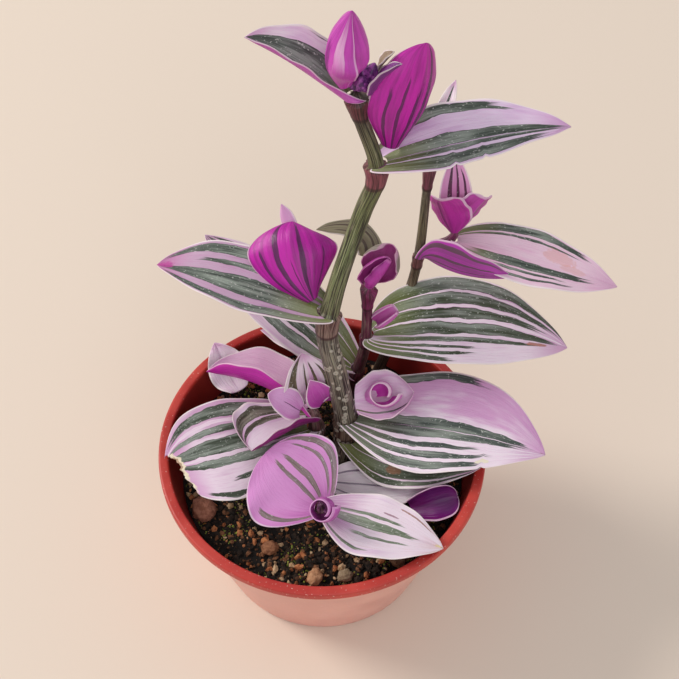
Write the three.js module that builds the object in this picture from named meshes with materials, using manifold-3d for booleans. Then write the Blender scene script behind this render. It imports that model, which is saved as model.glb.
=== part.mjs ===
// Potted tradescantia with pink and green striped leaves, in a round nursery pot.
// Millimetres, +Z up. The origin is the middle of the pot's underside.

import * as THREE from 'three';
import { mergeVertices } from 'three/addons/utils/BufferGeometryUtils.js';
import Module from 'manifold-3d';

const wasm = await Module();
wasm.setup();

// Driving dimensions of the pot and its filling
const POT_HEIGHT = 56;
const RIM_RADIUS = 50;
const RIM_LIP = 3;
const RIM_DROP = 3;
const FOOT_RADIUS = 34;
const SHOULDER_RADIUS = 47.4;
const POT_WALL = 1.1;
const DRAIN_HOLES = 5;
const DRAIN_RADIUS = 3.5;
const DRAIN_RING = 21;
const SOIL_TOP = 44;
const ROUND_SEGMENTS = 40;

// Driving dimensions that every shoot shares
const GAP = 0.3;
const BLADE_THICKNESS = 0.7;
const TIP_HALF_WIDTH = 0.4;
const CLASP_REACH = 5;
const BASE_SHARE = 0.13; // share of a leaf's length in which its base changes to its blade
const TIP_ROUNDNESS = 0.85;
const NODE_RING_SWELL = 0.3;
const NODE_RING_HEIGHT = 1.3;
const STEM_SIDES = 10;

const UP = [0, 0, 1];

// Small vector functions on [x, y, z] lists
const add = (a, b, scale = 1) => a.map((value, i) => value + scale * b[i]);
const dot = (a, b) => a[0] * b[0] + a[1] * b[1] + a[2] * b[2];
const cross = (a, b) => [
  a[1] * b[2] - a[2] * b[1],
  a[2] * b[0] - a[0] * b[2],
  a[0] * b[1] - a[1] * b[0],
];
const size = (a) => Math.hypot(...a);
const unit = (a) => a.map((value) => value / size(a));
const mix = (a, b, t) => a + (b - a) * t;
const smooth = (low, high, x) => THREE.MathUtils.smoothstep(x, low, high);
const radians = THREE.MathUtils.degToRad;

function turn(vector, axis, degrees) {
  const angle = radians(degrees);
  const along = dot(axis, vector) * (1 - Math.cos(angle));
  const side = cross(axis, vector);
  return vector.map((value, i) => value * Math.cos(angle) + side[i] * Math.sin(angle) + axis[i] * along);
}

function bezier(points, t) {
  const s = 1 - t;
  const weights = [s * s * s, 3 * s * s * t, 3 * s * t * t, t * t * t];
  return [0, 1, 2].map((i) => points.reduce((sum, point, k) => sum + weights[k] * point[i], 0));
}

function bezierDirection(points, t) {
  const s = 1 - t;
  const weights = [s * s, 2 * s * t, t * t];
  const steps = [0, 1, 2].map((k) => add(points[k + 1], points[k], -1));
  return unit([0, 1, 2].map((i) => steps.reduce((sum, step, k) => sum + weights[k] * step[i], 0)));
}

// A mesh from corner positions and triangles, with faces pointing out
function geometryFrom(positions, triangles) {
  const geometry = new THREE.BufferGeometry();
  geometry.setAttribute('position', new THREE.Float32BufferAttribute(positions.flat(), 3));
  geometry.setIndex(triangles.flat());
  geometry.computeVertexNormals();
  return geometry;
}

function toSolid(geometry) {
  const bare = geometry.clone();
  bare.deleteAttribute('normal');
  bare.deleteAttribute('uv');
  const merged = mergeVertices(bare, 1e-4);
  return new wasm.Manifold(new wasm.Mesh({
    numProp: 3,
    vertProperties: new Float32Array(merged.attributes.position.array),
    triVerts: new Uint32Array(merged.index.array),
  }));
}

function toGeometry(solid) {
  const mesh = solid.getMesh();
  const geometry = new THREE.BufferGeometry();
  geometry.setAttribute('position', new THREE.BufferAttribute(new Float32Array(mesh.vertProperties), 3));
  geometry.setIndex(new THREE.BufferAttribute(new Uint32Array(mesh.triVerts), 1));
  geometry.computeVertexNormals();
  return geometry;
}

// The largest body that is left of a geometry when the cutters are taken away
function cutAway(geometry, cutters) {
  const body = toSolid(geometry);
  const left = cutters.reduce((solid, cutter) => solid.subtract(cutter), body);
  const bodies = left.decompose().sort((a, b) => b.volume() - a.volume());
  return toGeometry(bodies[0]);
}

// Stems: a round section swept through listed points, with a ring and a flared
// leaf sheath at each node

// Stem points are [x, y, z, radius]; nodes are [height of the ring, height of the sheath, flare]
const STEMS = {
  stem_main: {
    points: [
      [3.5, -1, 30, 3.4], [5, 2, 44, 3.5], [7.2, 7.2, 56, 3.5], [5.8, 10.7, 68, 3.3], [3.7, 14, 79, 3.3],
      [1.6, 17.5, 91, 3.2], [4.2, 21.6, 105.5, 2.6], [12, 29, 132, 2.5], [15.2, 31.9, 140.5, 2.5],
      [14.8, 33.6, 147, 2.1], [10.4, 37.3, 160.5, 2], [9.6, 38.6, 167, 1.6],
    ],
    nodes: [[54, 4.5, 1.25], [91.5, 6, 1.35], [139.5, 5.5, 1.7], [159.5, 5.3, 2]],
    color: '#7d7c52',
  },
  stem_back: {
    points: [
      [14, 34.5, 34, 1.8], [18.5, 37, 46, 1.8], [25, 40, 72, 1.7], [28.8, 42, 93, 1.5],
      [30.3, 44, 125, 1.25], [31, 45.5, 134, 1], [31.3, 46.8, 141, 0.8],
    ],
    nodes: [[92, 4, 1.3], [124.5, 7, 1.9]],
    color: '#7c7159',
  },
  stem_branch: {
    points: [[31.2, 42.6, 99, 1.2], [34, 42.4, 101, 1.3], [38, 42.2, 103.5, 1.4], [40, 42.8, 107, 1]],
    nodes: [],
    parent: 'stem_back',
    color: '#7d3a5c',
  },
  stem_middle: {
    points: [
      [8.5, 24.5, 33, 2], [9.5, 25, 46, 2], [10.6, 25.6, 57, 2], [13.2, 25.8, 73.5, 1.7],
      [13.6, 27, 92, 1.5], [14, 27, 101, 1.3],
    ],
    nodes: [[56, 4, 1.25], [73.5, 4, 1.35], [91, 8, 2]],
    color: '#6a3143',
  },
  stem_left: {
    points: [[-2, 8, 33, 2.4], [-1.5, 9, 46, 2.4], [-2.2, 9.2, 56, 2.3], [-3, 9.5, 62, 1.5]],
    nodes: [[50, 3, 1.2]],
    color: '#7a5a4c',
  },
  stem_front: {
    points: [[0, -17, 33, 2.2], [0.5, -19, 46, 2.2], [0.6, -21, 55, 2.1], [0.1, -23, 60, 1.4]],
    nodes: [[50, 3, 1.2]],
    color: '#7a5a4c',
  },
};

function stemCurve(stem) {
  const points = stem.points.map(([x, y, z]) => new THREE.Vector3(x, y, z));
  return new THREE.CatmullRomCurve3(points, false, 'centripetal');
}

// Axis point, direction and radius of a stem at a height
function stemAt(stem, height) {
  const curve = stemCurve(stem);
  const spans = stem.points.length - 1;
  let low = 0;
  let high = 1;
  for (let step = 0; step < 30; step += 1) {
    const middle = (low + high) / 2;
    if (curve.getPoint(middle).z < height) low = middle;
    else high = middle;
  }
  const place = Math.min(low * spans, spans - 1e-6);
  const span = Math.floor(place);
  const radius = mix(stem.points[span][3], stem.points[span + 1][3], place - span);
  return { centre: curve.getPoint(low).toArray(), axis: curve.getTangent(low).toArray(), radius };
}

// Height of each section and how much it is swollen
function stemSections(stem) {
  const heights = stem.points.map((point) => [point[2], 1, 0]);
  const sections = [];
  for (let i = 0; i < heights.length - 1; i += 1) {
    const steps = Math.max(1, Math.round((heights[i + 1][0] - heights[i][0]) / 9));
    for (let k = 0; k < steps; k += 1) {
      sections.push([mix(heights[i][0], heights[i + 1][0], k / steps), 1, 0]);
    }
  }
  sections.push(heights[heights.length - 1]);
  const clear = ([z]) => stem.nodes.every(([ring, sheath]) => z < ring - 2 || z > ring + sheath + 1.5);
  const collars = stem.nodes.flatMap(([ring, sheath, flare]) => [
    [ring - NODE_RING_HEIGHT, 1, 0],
    [ring, 1, NODE_RING_SWELL],
    [ring + NODE_RING_HEIGHT, 1.05, 0],
    [ring + sheath, flare, 0],
    [ring + sheath + 0.3, 1, 0],
  ]);
  return [...sections.filter(clear), ...collars].sort((a, b) => a[0] - b[0]);
}

function stemGeometry(stem, grown = 0) {
  const positions = [];
  const sections = stemSections(stem);
  for (const [height, scale, swell] of sections) {
    const { centre, axis, radius } = stemAt(stem, height);
    const side = unit(cross([0, 1, 0], axis));
    const back = cross(axis, side);
    for (let k = 0; k < STEM_SIDES; k += 1) {
      const angle = (2 * Math.PI * k) / STEM_SIDES;
      const reach = radius * scale + swell + grown;
      positions.push(add(add(centre, side, reach * Math.cos(angle)), back, reach * Math.sin(angle)));
    }
  }
  const triangles = [];
  for (let row = 0; row < sections.length - 1; row += 1) {
    for (let k = 0; k < STEM_SIDES; k += 1) {
      const a = row * STEM_SIDES + k;
      const b = row * STEM_SIDES + ((k + 1) % STEM_SIDES);
      triangles.push([a, b, b + STEM_SIDES], [a, b + STEM_SIDES, a + STEM_SIDES]);
    }
  }
  const last = (sections.length - 1) * STEM_SIDES;
  for (let k = 1; k < STEM_SIDES - 1; k += 1) {
    triangles.push([0, k + 1, k], [last, last + k, last + k + 1]);
  }
  return geometryFrom(positions, triangles);
}

// Leaves: a blade laid along a bent midrib, with a curved cross-section

// What a leaf has when its own entry doesn't say otherwise. Angles are in degrees.
const LEAF = {
  face: UP, // the way the upper side looks
  lift: 15, // how far the midrib starts above the straight line to the tip
  drop: 15, // and how far it falls again at the tip
  sway: 0, // the same sideways
  arch: 0.36, // length of the curve's handles, as a share of the leaf's length
  bank: 0, // roll about the midrib
  cup: 30, // bend of the section from margin to margin
  cupBase: 90, // the same at the base
  crease: 1, // below 1 the bend gathers at the midrib
  skew: 0, // makes the section a spiral
  belly: 0.4, // where the blade is widest, one number or one for each side
  point: 2, // fullness towards the tip, the same way
  neck: 0.5, // width of the base, as a share of the width
  spread: 1, // above 1 the blade widens later
  blunt: 0, // width of the tip, as a share of the width
  round: TIP_ROUNDNESS, // 0.5 is the end of an ellipse, and more is sharper
  lean: 0, // share of the width moved from one side to the other
  wrap: 200, // how far a clasping base goes around its stem
  clasp: 1, // radius of a clasping base, as a share of its stem's
  lobe: 0, // how far the base sweeps back on one side, the positive one where it is above 0
  tear: 0, // share of the length that is torn off
  seat: [], // leaves that the base rests on
  rows: 8,
  columns: 6,
};

// Half-width of a blade, as a share of its greatest half-width
function outline(leaf, t, side) {
  const belly = [leaf.belly].flat().at(side);
  const point = [leaf.point].flat().at(side);
  if (t < belly) return mix(leaf.neck, 1, Math.sin((0.5 * Math.PI * t) / belly) ** leaf.spread);
  return mix(leaf.blunt, 1, (1 - ((t - belly) / (1 - belly)) ** point) ** leaf.round);
}

// Points of a cross-section, [across, up], worked out from the middle to each margin
function sectionPoints(leaf, halfWidth, cup) {
  const steps = 24;
  const bend = (s) => Math.max(Math.abs(s), 0.02) ** (leaf.crease - 1) * (1 + leaf.skew * s);
  const places = Array.from({ length: 2 * steps }, (_, k) => (k + 0.5) / steps - 1);
  const total = places.reduce((sum, s) => sum + bend(s), 0);
  const share = radians(cup) / total;
  const walk = (direction) => {
    const line = [[0, 0]];
    let angle = 0;
    for (let k = 0; k < steps; k += 1) {
      const s = (direction * (k + 0.5)) / steps;
      angle += 0.5 * share * bend(s);
      const [across, up] = line[k];
      const step = (direction * halfWidth) / steps;
      line.push([across + step * Math.cos(angle), up + Math.abs(step) * Math.sin(angle)]);
      angle += 0.5 * share * bend(s);
    }
    return line;
  };
  const sides = { left: walk(-1), right: walk(1) };
  return (u) => {
    const line = u < 0 ? sides.left : sides.right;
    const place = Math.min(Math.abs(u) * steps, steps - 1e-9);
    const k = Math.floor(place);
    return [0, 1].map((i) => mix(line[k][i], line[k + 1][i], place - k));
  };
}

// Where a leaf starts: on its stem at a height, or at a point of its own
function leafBase(leaf) {
  if (!leaf.stem) return { base: leaf.base };
  const { centre, axis, radius } = stemAt(STEMS[leaf.stem], leaf.height);
  const reach = radius * leaf.clasp + GAP + BLADE_THICKNESS / 2;
  const towards = add(leaf.tip, centre, -1);
  const outwards = unit(add(towards, axis, -dot(towards, axis)));
  const clasp = (u) => {
    const angle = (u * radians(leaf.wrap)) / 2;
    const sideways = cross(outwards, axis);
    return add(add(centre, outwards, reach * Math.cos(angle)), sideways, reach * Math.sin(angle));
  };
  return { base: clasp(0), clasp };
}

// A torn blade ends early, and most so at its near margin
function keptShare(leaf, u, t) {
  const torn = 0.82 * leaf.tear * (0.55 - 0.45 * u);
  return t * (1 - torn * smooth(0.6, 1, t));
}

// Middle surface of a blade: point(u, share) for u from -1 to 1 across and share from 0 to 1 along
function leafSurface(leaf) {
  const { base, clasp } = leafBase(leaf);
  const chord = add(leaf.tip, base, -1);
  const length = size(chord);
  const along = unit(chord);
  const normal = unit(add(leaf.face, along, -dot(leaf.face, along)));
  const hinge = cross(along, normal);
  const start = turn(turn(along, hinge, leaf.lift), normal, leaf.sway);
  const end = turn(turn(along, hinge, -leaf.drop), normal, -leaf.sway);
  const handle = leaf.arch * length;
  const midrib = [base, add(base, start, handle), add(leaf.tip, end, -handle), leaf.tip];
  return (u, share) => {
    const t = keptShare(leaf, u, share);
    const direction = bezierDirection(midrib, t);
    const up = turn(unit(add(leaf.face, direction, -dot(leaf.face, direction))), direction, leaf.bank);
    const across = cross(direction, up);
    const cup = mix(leaf.cup, leaf.cupBase, Math.exp(-((t / BASE_SHARE) ** 2)));
    const side = u < 0 ? 0 : -1;
    const reach = 0.5 * leaf.width * (1 + leaf.lean * Math.sign(u)) * outline(leaf, t, side);
    const [sideways, upwards] = sectionPoints(leaf, Math.max(reach, TIP_HALF_WIDTH), cup)(u);
    const plain = add(add(bezier(midrib, t), across, sideways), up, upwards);
    const swept = Math.exp(-((t / BASE_SHARE) ** 2)) * Math.max(Math.sign(leaf.lobe) * u, 0) ** 2;
    const free = add(plain, direction, -Math.abs(leaf.lobe) * swept);
    if (!clasp) return free;
    const held = Math.exp(-(((t * length) / CLASP_REACH) ** 2));
    return add(free.map((value) => value * (1 - held)), clasp(u), held);
  };
}

function leafGeometry(leaf, grown = 0) {
  const surface = leafSurface({ ...leaf, width: leaf.width + 2 * grown });
  const { rows, columns } = leaf;
  const grid = [];
  for (let row = 0; row <= rows; row += 1) {
    for (let column = 0; column <= columns; column += 1) {
      grid.push(surface((2 * column) / columns - 1, row / rows));
    }
  }
  const at = (row, column) => row * (columns + 1) + column;
  const normals = grid.map((_, k) => {
    const row = Math.floor(k / (columns + 1));
    const column = k % (columns + 1);
    const right = grid[at(row, Math.min(column + 1, columns))];
    const left = grid[at(row, Math.max(column - 1, 0))];
    const ahead = grid[at(Math.min(row + 1, rows), column)];
    const behind = grid[at(Math.max(row - 1, 0), column)];
    return unit(cross(add(right, left, -1), add(ahead, behind, -1)));
  });
  const half = BLADE_THICKNESS / 2 + grown;
  const upper = grid.map((point, k) => add(point, normals[k], half));
  const lower = grid.map((point, k) => add(point, normals[k], -half));
  const shift = grid.length;
  const triangles = [];
  for (let row = 0; row < rows; row += 1) {
    for (let column = 0; column < columns; column += 1) {
      const a = at(row, column);
      const b = at(row, column + 1);
      const c = at(row + 1, column);
      const d = at(row + 1, column + 1);
      triangles.push([a, b, d], [a, d, c]);
      triangles.push([shift + a, shift + d, shift + b], [shift + a, shift + c, shift + d]);
    }
  }
  const rim = [];
  for (let column = 0; column < columns; column += 1) rim.push(at(0, column));
  for (let row = 0; row < rows; row += 1) rim.push(at(row, columns));
  for (let column = columns; column > 0; column -= 1) rim.push(at(rows, column));
  for (let row = rows; row > 0; row -= 1) rim.push(at(row, 0));
  rim.forEach((a, k) => {
    const b = rim[(k + 1) % rim.length];
    triangles.push([a, shift + b, b], [a, shift + a, shift + b]);
  });
  return geometryFrom([...upper, ...lower], triangles);
}

// Unopened flowers at the top of the main stem: small eggs grown together
const FLOWER_BUDS = {
  centre: [11.8, 38.4, 170.5],
  radius: 2,
  length: 2.7,
  spread: 0.25, // radians of lean for each millimetre off the middle
  offsets: [[-2.8, 0.4, -0.6], [-0.8, -1.6, 0.6], [1.2, -0.6, -0.6], [-0.6, 1.4, 1.4], [1.4, 1, 1.6]],
};

function flowerGeometry(flower) {
  const eggs = flower.offsets.map((offset) => {
    const egg = new THREE.SphereGeometry(1, 8, 5);
    egg.rotateX(Math.PI / 2);
    egg.scale(flower.radius, flower.radius, flower.length);
    egg.rotateY(flower.spread * offset[0]);
    egg.rotateX(-flower.spread * offset[1]);
    egg.translate(...add(flower.centre, offset));
    return toSolid(egg);
  });
  return toGeometry(wasm.Manifold.union(eggs));
}

// Colours of the leaves, as the eye sees each one from a distance
const GREEN = '#8c9a88';
const LILAC = '#c99cc4';
const PINK = '#cf8fc0';
const MAGENTA = '#b02f98';
const PURPLE = '#7c2a7c';
const OLIVE = '#6d6f3c';

// Every leaf and bud of the plant
const LEAVES = {
  // top of the main stem
  leaf_top_left: {
    stem: 'stem_main', height: 165.4, tip: [-18.3, 39.8, 184], width: 15.5, lift: 5, drop: 12, bank: 6,
    cup: 120, crease: 0.5, lean: 0.4, wrap: 260, clasp: 1.6, color: GREEN,
  },
  bud_top: {
    base: [6.4, 37.6, 169.5], tip: [8.3, 35.5, 196], width: 36, face: [0.45, -0.8, 0.2], lift: -42,
    drop: -42, cup: 370, cupBase: 370, skew: 0.35, belly: 0.42, neck: 0.25, seat: ['leaf_top_left'],
    rows: 7, columns: 12, color: MAGENTA,
  },
  leaf_top_inner: {
    base: [13.6, 35.8, 168.5], tip: [21, 36.4, 178.2], width: 8, face: [-0.6, 0.4, 0.6], cup: 90,
    crease: 0.6, seat: ['leaf_upper_erect'], rows: 5, columns: 4, color: PURPLE,
  },
  tip_top_small: {
    base: [15.4, 41.8, 171.2], tip: [19.2, 42.2, 177], width: 6, face: [-0.6, 0.2, 0.7], cup: 80,
    seat: ['leaf_top_inner'], rows: 4, columns: 4, color: OLIVE,
  },
  // upper node of the main stem
  leaf_upper_right: {
    stem: 'stem_main', height: 145.8, tip: [67.7, 42.5, 150], width: 21, lift: 8, drop: 12, bank: 8,
    cup: 30, belly: [0.32, 0.34], point: [2, 1.6], neck: 0.6, lean: -0.2, wrap: 240, clasp: 1.2, lobe: 11,
    rows: 11, color: GREEN,
  },
  leaf_upper_erect: {
    base: [20, 36, 148.5], tip: [27.6, 46.6, 176], width: 27, face: [-0.6, 0.8, 0], lift: -12, drop: -18,
    cup: 110, cupBase: 150, belly: 0.44, point: 2.6, neck: 0.3, round: 0.6, seat: ['leaf_upper_right'],
    color: MAGENTA,
  },
  // middle node of the main stem
  leaf_left: {
    stem: 'stem_main', height: 98, tip: [-48.5, 35, 100.5], width: 22, drop: 20, bank: -6, cup: 35,
    belly: 0.42, point: [1.6, 2.8], neck: 0.6, wrap: 240, clasp: 1.1, lobe: -10, rows: 11, color: GREEN,
  },
  leaf_hooded: {
    base: [-2.4, 21.8, 100.6], tip: [-8.4, 40.2, 113.8], width: 29, face: [0, 0.59, -0.81], lift: -20,
    drop: -50, sway: -17, cup: 90, cupBase: 110, belly: [0.54, 0.66], point: [1.8, 2.2], neck: 0.14,
    spread: 1.1, round: 0.5, lean: 0.06, seat: ['leaf_left'], color: MAGENTA,
  },
  leaf_hooded_inner: {
    base: [-8.2, 35.8, 109.4], tip: [-11.5, 44.2, 117], width: 5, face: [0.2, 0.8, -0.3], cup: 60,
    belly: 0.5, seat: ['leaf_hooded'], rows: 5, columns: 4, color: LILAC,
  },
  // middle stem
  leaf_middle_right: {
    stem: 'stem_middle', height: 78.5, tip: [74.8, 24, 74], width: 30, lift: 26, drop: 22, bank: 10,
    cup: -10, belly: 0.42, neck: 0.6, lean: -0.2, lobe: 9, rows: 11, color: GREEN,
  },
  bud_middle_axil: {
    base: [16.6, 27.8, 82], tip: [22.5, 28.4, 88], width: 12, face: [0, -0.6, 1], cup: 280, cupBase: 280,
    blunt: 0.6, round: 0.5, rows: 4, columns: 8, color: PINK,
  },
  leaf_middle_left: {
    base: [12.2, 29.4, 100.2], tip: [-1.4, 40.5, 110], width: 11, face: [-0.2, -0.8, -0.6], lift: -75,
    drop: -65, arch: 0.7, bank: -50, cup: 60, seat: ['leaf_hooded'], color: OLIVE,
  },
  bud_middle_outer: {
    base: [14.6, 28.6, 102], tip: [20.5, 30.5, 115], width: 19, face: [-0.2, -0.8, 0.5], lift: -20,
    drop: -40, cup: 200, cupBase: 200, belly: 0.5, point: 2.4, neck: 0.3, blunt: 0.35, round: 0.5,
    seat: ['leaf_middle_left'], rows: 6, columns: 10, color: OLIVE,
  },
  bud_middle_inner: {
    base: [14.6, 26.4, 102.5], tip: [19.8, 27.3, 112.5], width: 15, face: [-0.5, -0.6, 1], cup: 330,
    cupBase: 330, skew: 0.4, blunt: 0.3, round: 0.6, seat: ['leaf_middle_left', 'bud_middle_outer'],
    rows: 5, columns: 10, color: MAGENTA,
  },
  // back stem
  leaf_back_folded: {
    stem: 'stem_back', height: 96.8, tip: [56.1, 30.1, 101], width: 22.5, face: [0, -0.59, 0.81],
    lift: 15, drop: 15, sway: -20, bank: -80, cup: 120, crease: 0.4, belly: [0.4, 0.34], neck: 0.7,
    lean: 0.25, color: PURPLE,
  },
  leaf_back_right: {
    stem: 'stem_branch', height: 104.5, tip: [87.3, 30.3, 96], width: 19.5, lift: 14, drop: 10, bank: 10,
    cup: 15, neck: 0.6, lean: 0.08, seat: ['leaf_back_folded'], color: PINK,
  },
  leaf_crown_back: {
    base: [39.6, 46.6, 107], tip: [38.6, 54.5, 127], width: 10, face: [0, -1, 0.3], cup: 50,
    seat: ['leaf_crown_left', 'leaf_crown_right'], rows: 6, columns: 4, color: PINK,
  },
  leaf_crown_left: {
    base: [38.8, 42.2, 106.6], tip: [34.4, 43.6, 119.8], width: 14, face: [0.3, 0.8, 0.2], cup: 80,
    point: 2.6, neck: 0.2, blunt: 0.3, round: 0.5, rows: 6, columns: 4, color: MAGENTA,
  },
  leaf_crown_right: {
    base: [42.2, 45, 107.5], tip: [48, 47, 116.8], width: 13, face: [-0.3, 0.8, 0.2], cup: 80, point: 2.6,
    neck: 0.2, blunt: 0.3, round: 0.5, seat: ['leaf_crown_left', 'leaf_back_right'], rows: 6, columns: 4,
    color: MAGENTA,
  },
  leaf_back_top: {
    base: [31.8, 47.8, 141.4], tip: [37.5, 60, 150.5], width: 5, face: [0, -0.5, 1], cup: 60, rows: 5,
    columns: 4, color: LILAC,
  },
  // foot of the main stem, right
  leaf_lower_right: {
    stem: 'stem_main', height: 59.5, tip: [66.7, -7.5, 63], width: 33.5, lift: 15, drop: 18, bank: 14,
    cup: -5, belly: [0.5, 0.36], point: [2.2, 1.5], neck: 0.6, lean: -0.08, color: LILAC,
  },
  leaf_lower_right_under: {
    stem: 'stem_main', height: 52.3, tip: [48.2, -8, 57], width: 22.5, lift: 5, drop: 5, bank: 18,
    cup: 20, belly: 0.32, neck: 0.7, lean: 0.15, color: OLIVE,
  },
  leaf_lower_pale: {
    base: [3, -7, 47], tip: [34, -11, 50], width: 16, lift: 3, drop: 3, bank: 15, cup: 10,
    seat: ['leaf_lower_right_under'], color: LILAC,
  },
  leaf_lower_curl: {
    base: [27, -16.5, 47], tip: [41, -14.5, 51], width: 15, face: [0, -0.6, 0.8], cup: 170, cupBase: 170,
    belly: 0.6, point: 2.6, round: 0.5, rows: 6, columns: 8, color: PURPLE,
  },
  rosette_outer: {
    base: [10, 8.4, 67.2], tip: [27.8, 9.4, 71.2], width: 21, face: [0, -0.3, 1], lift: -25, drop: -30,
    cup: 150, cupBase: 150, point: 3, neck: 0.6, round: 0.6, seat: ['leaf_lower_right'], rows: 7,
    columns: 8, color: PINK,
  },
  rosette_inner: {
    base: [13.2, 9.8, 68.2], tip: [14.6, 6.6, 73.6], width: 26, face: [0.9, 0.3, -0.1], cup: 380,
    cupBase: 380, skew: 0.45, belly: 0.6, blunt: 0.85, round: 0.5, seat: ['rosette_outer'], rows: 5,
    columns: 12, color: MAGENTA,
  },
  // left shoot
  leaf_left_low: {
    stem: 'stem_left', height: 54, tip: [-47.4, -8, 57.9], width: 33.5, lift: 12, drop: 12, bank: -8,
    cup: -5, belly: [0.55, 0.58], point: 3, lean: -0.08, tear: 0.16, color: GREEN,
  },
  leaf_left_round: {
    stem: 'stem_left', height: 59, tip: [-20.9, -7, 64.5], width: 25, lift: 10, drop: 10, bank: 35,
    cup: 110, crease: 0.7, belly: [0.5, 0.64], point: [2, 2.4], neck: 0.6, round: 0.5, lean: 0.3,
    color: GREEN,
  },
  leaf_left_spoon: {
    base: [-6.8, 6.6, 65.5], tip: [-16, 6.6, 74.5], width: 10, face: [0.1, -0.4, 1], cup: 60, round: 0.6,
    seat: ['leaf_left_erect'], rows: 5, columns: 4, color: PINK,
  },
  leaf_left_erect: {
    base: [-3.6, 11.2, 64], tip: [-6, 16.4, 82], width: 17, face: [0.3, -1, 0.2], cup: 70,
    seat: ['leaf_left_folded'], rows: 6, columns: 6, color: OLIVE,
  },
  leaf_left_inner: {
    base: [0.6, 11.4, 63.5], tip: [-3.5, 10.0, 77.0], width: 10, face: [0.3, -0.9, 0.3], cup: 70,
    seat: ['leaf_left_erect'], rows: 5, columns: 4, color: MAGENTA,
  },
  leaf_left_folded: {
    stem: 'stem_left', height: 61, tip: [-36, 22.5, 63.5], width: 25, lift: 12, drop: 12, sway: -12,
    bank: 40, cup: 120, crease: 0.5, belly: 0.5, lean: 0.1, seat: ['leaf_left_round'], color: PINK,
  },
  leaf_left_cup: {
    base: [-26, 20.5, 56], tip: [-34, 32.5, 65], width: 13, face: [0.3, -0.8, 0.4], lift: -30, cup: 20,
    seat: ['leaf_left_folded', 'leaf_left_low'], rows: 6, columns: 4, color: LILAC,
  },
  leaf_behind: {
    stem: 'stem_middle', height: 61, tip: [-37.1, 60.7, 84], width: 24.5, lift: 10, drop: 10, cup: 30,
    lean: -0.14, color: GREEN,
  },
  leaf_behind_low: {
    stem: 'stem_middle', height: 57.4, tip: [-19.8, 39.7, 62], width: 10, cup: 40, rows: 6, columns: 4,
    color: LILAC,
  },
  // front shoot
  leaf_front_round: {
    stem: 'stem_front', height: 54, tip: [-16.6, -7.4, 64.5], width: 34, face: [0.1, -0.5, 1], lift: -10,
    drop: 12, cup: 10, cupBase: 30, belly: 0.36, point: 2, neck: 0.84, round: 0.5, lean: -0.03,
    color: PINK,
  },
  leaf_front_right: {
    stem: 'stem_front', height: 56.5, tip: [35.3, -36.1, 58], width: 21.5, lift: 8, drop: 8, cup: 15,
    belly: [0.4, 0.3], neck: 0.65, lean: 0.14, color: LILAC,
  },
  bud_front: {
    base: [-2.4, -24, 60.5], tip: [-3.2, -28.4, 67], width: 25, face: [1, 0, 0], cup: 420, cupBase: 420,
    skew: 0.25, belly: 0.7, neck: 0.6, blunt: 0.9, rows: 4, columns: 16, color: MAGENTA,
  },
};

// Pot and its filling
function potGeometry() {
  const shoulder = POT_HEIGHT - RIM_DROP;
  const inner = (radius) => radius - POT_WALL;
  const profile = [
    [0, 0], [FOOT_RADIUS - 0.8, 0], [FOOT_RADIUS, 0.8], [SHOULDER_RADIUS, shoulder],
    [RIM_RADIUS, shoulder], [RIM_RADIUS, POT_HEIGHT], [RIM_RADIUS - RIM_LIP, POT_HEIGHT],
    [inner(SHOULDER_RADIUS), shoulder], [inner(FOOT_RADIUS), POT_WALL + 0.4], [0, POT_WALL],
  ];
  const points = profile.map(([radius, height]) => new THREE.Vector2(radius, height));
  const body = new THREE.LatheGeometry(points, ROUND_SEGMENTS);
  body.rotateX(Math.PI / 2);
  const holes = [];
  for (let k = 0; k < DRAIN_HOLES; k += 1) {
    const angle = (2 * Math.PI * (k + 0.5)) / DRAIN_HOLES;
    const hole = new THREE.CylinderGeometry(DRAIN_RADIUS, DRAIN_RADIUS, 6, 16);
    hole.rotateX(Math.PI / 2);
    hole.translate(DRAIN_RING * Math.cos(angle), DRAIN_RING * Math.sin(angle), 0);
    holes.push(toSolid(hole));
  }
  return cutAway(body, holes);
}

// Radius of the pot's inside at a height
function insideRadius(height) {
  const slope = (SHOULDER_RADIUS - FOOT_RADIUS) / (POT_HEIGHT - RIM_DROP);
  return FOOT_RADIUS + slope * height - POT_WALL;
}

// Stones lying in the top of the soil, each with its half-sizes and its turn in degrees
const PEBBLES = {
  pebble_left: { centre: [-36.3, -15.6, 45], half: [4.4, 3.4, 2.8], turn: 115, color: '#a06a52' },
  pebble_front_left: { centre: [-15.5, -29, 45], half: [2.6, 2.2, 1.8], turn: 20, color: '#8a5c3c' },
  pebble_front: { centre: [-2, -38.5, 44.6], half: [2.8, 2.2, 1.9], turn: 70, color: '#c08a62' },
  pebble_front_right: { centre: [7, -38, 44.6], half: [2.3, 2, 1.7], turn: 10, color: '#9c8468' },
  pebble_right: { centre: [22.5, -33, 44.6], half: [2.6, 2, 1.7], turn: 140, color: '#7c5a40' },
};

function pebbleGeometry(pebble, grown = 0) {
  const geometry = new THREE.IcosahedronGeometry(1, 1);
  const position = geometry.attributes.position;
  for (let k = 0; k < position.count; k += 1) {
    const [x, y, z] = [position.getX(k), position.getY(k), position.getZ(k)];
    const lump = 1 + 0.09 * Math.sin(3 * x + pebble.turn) + 0.07 * Math.sin(4 * y - 2 * z);
    const point = [x, y, z].map((value, i) => value * (lump * pebble.half[i] + grown));
    position.setXYZ(k, ...point);
  }
  geometry.rotateZ(radians(pebble.turn));
  geometry.translate(...pebble.centre);
  return geometry;
}

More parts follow.
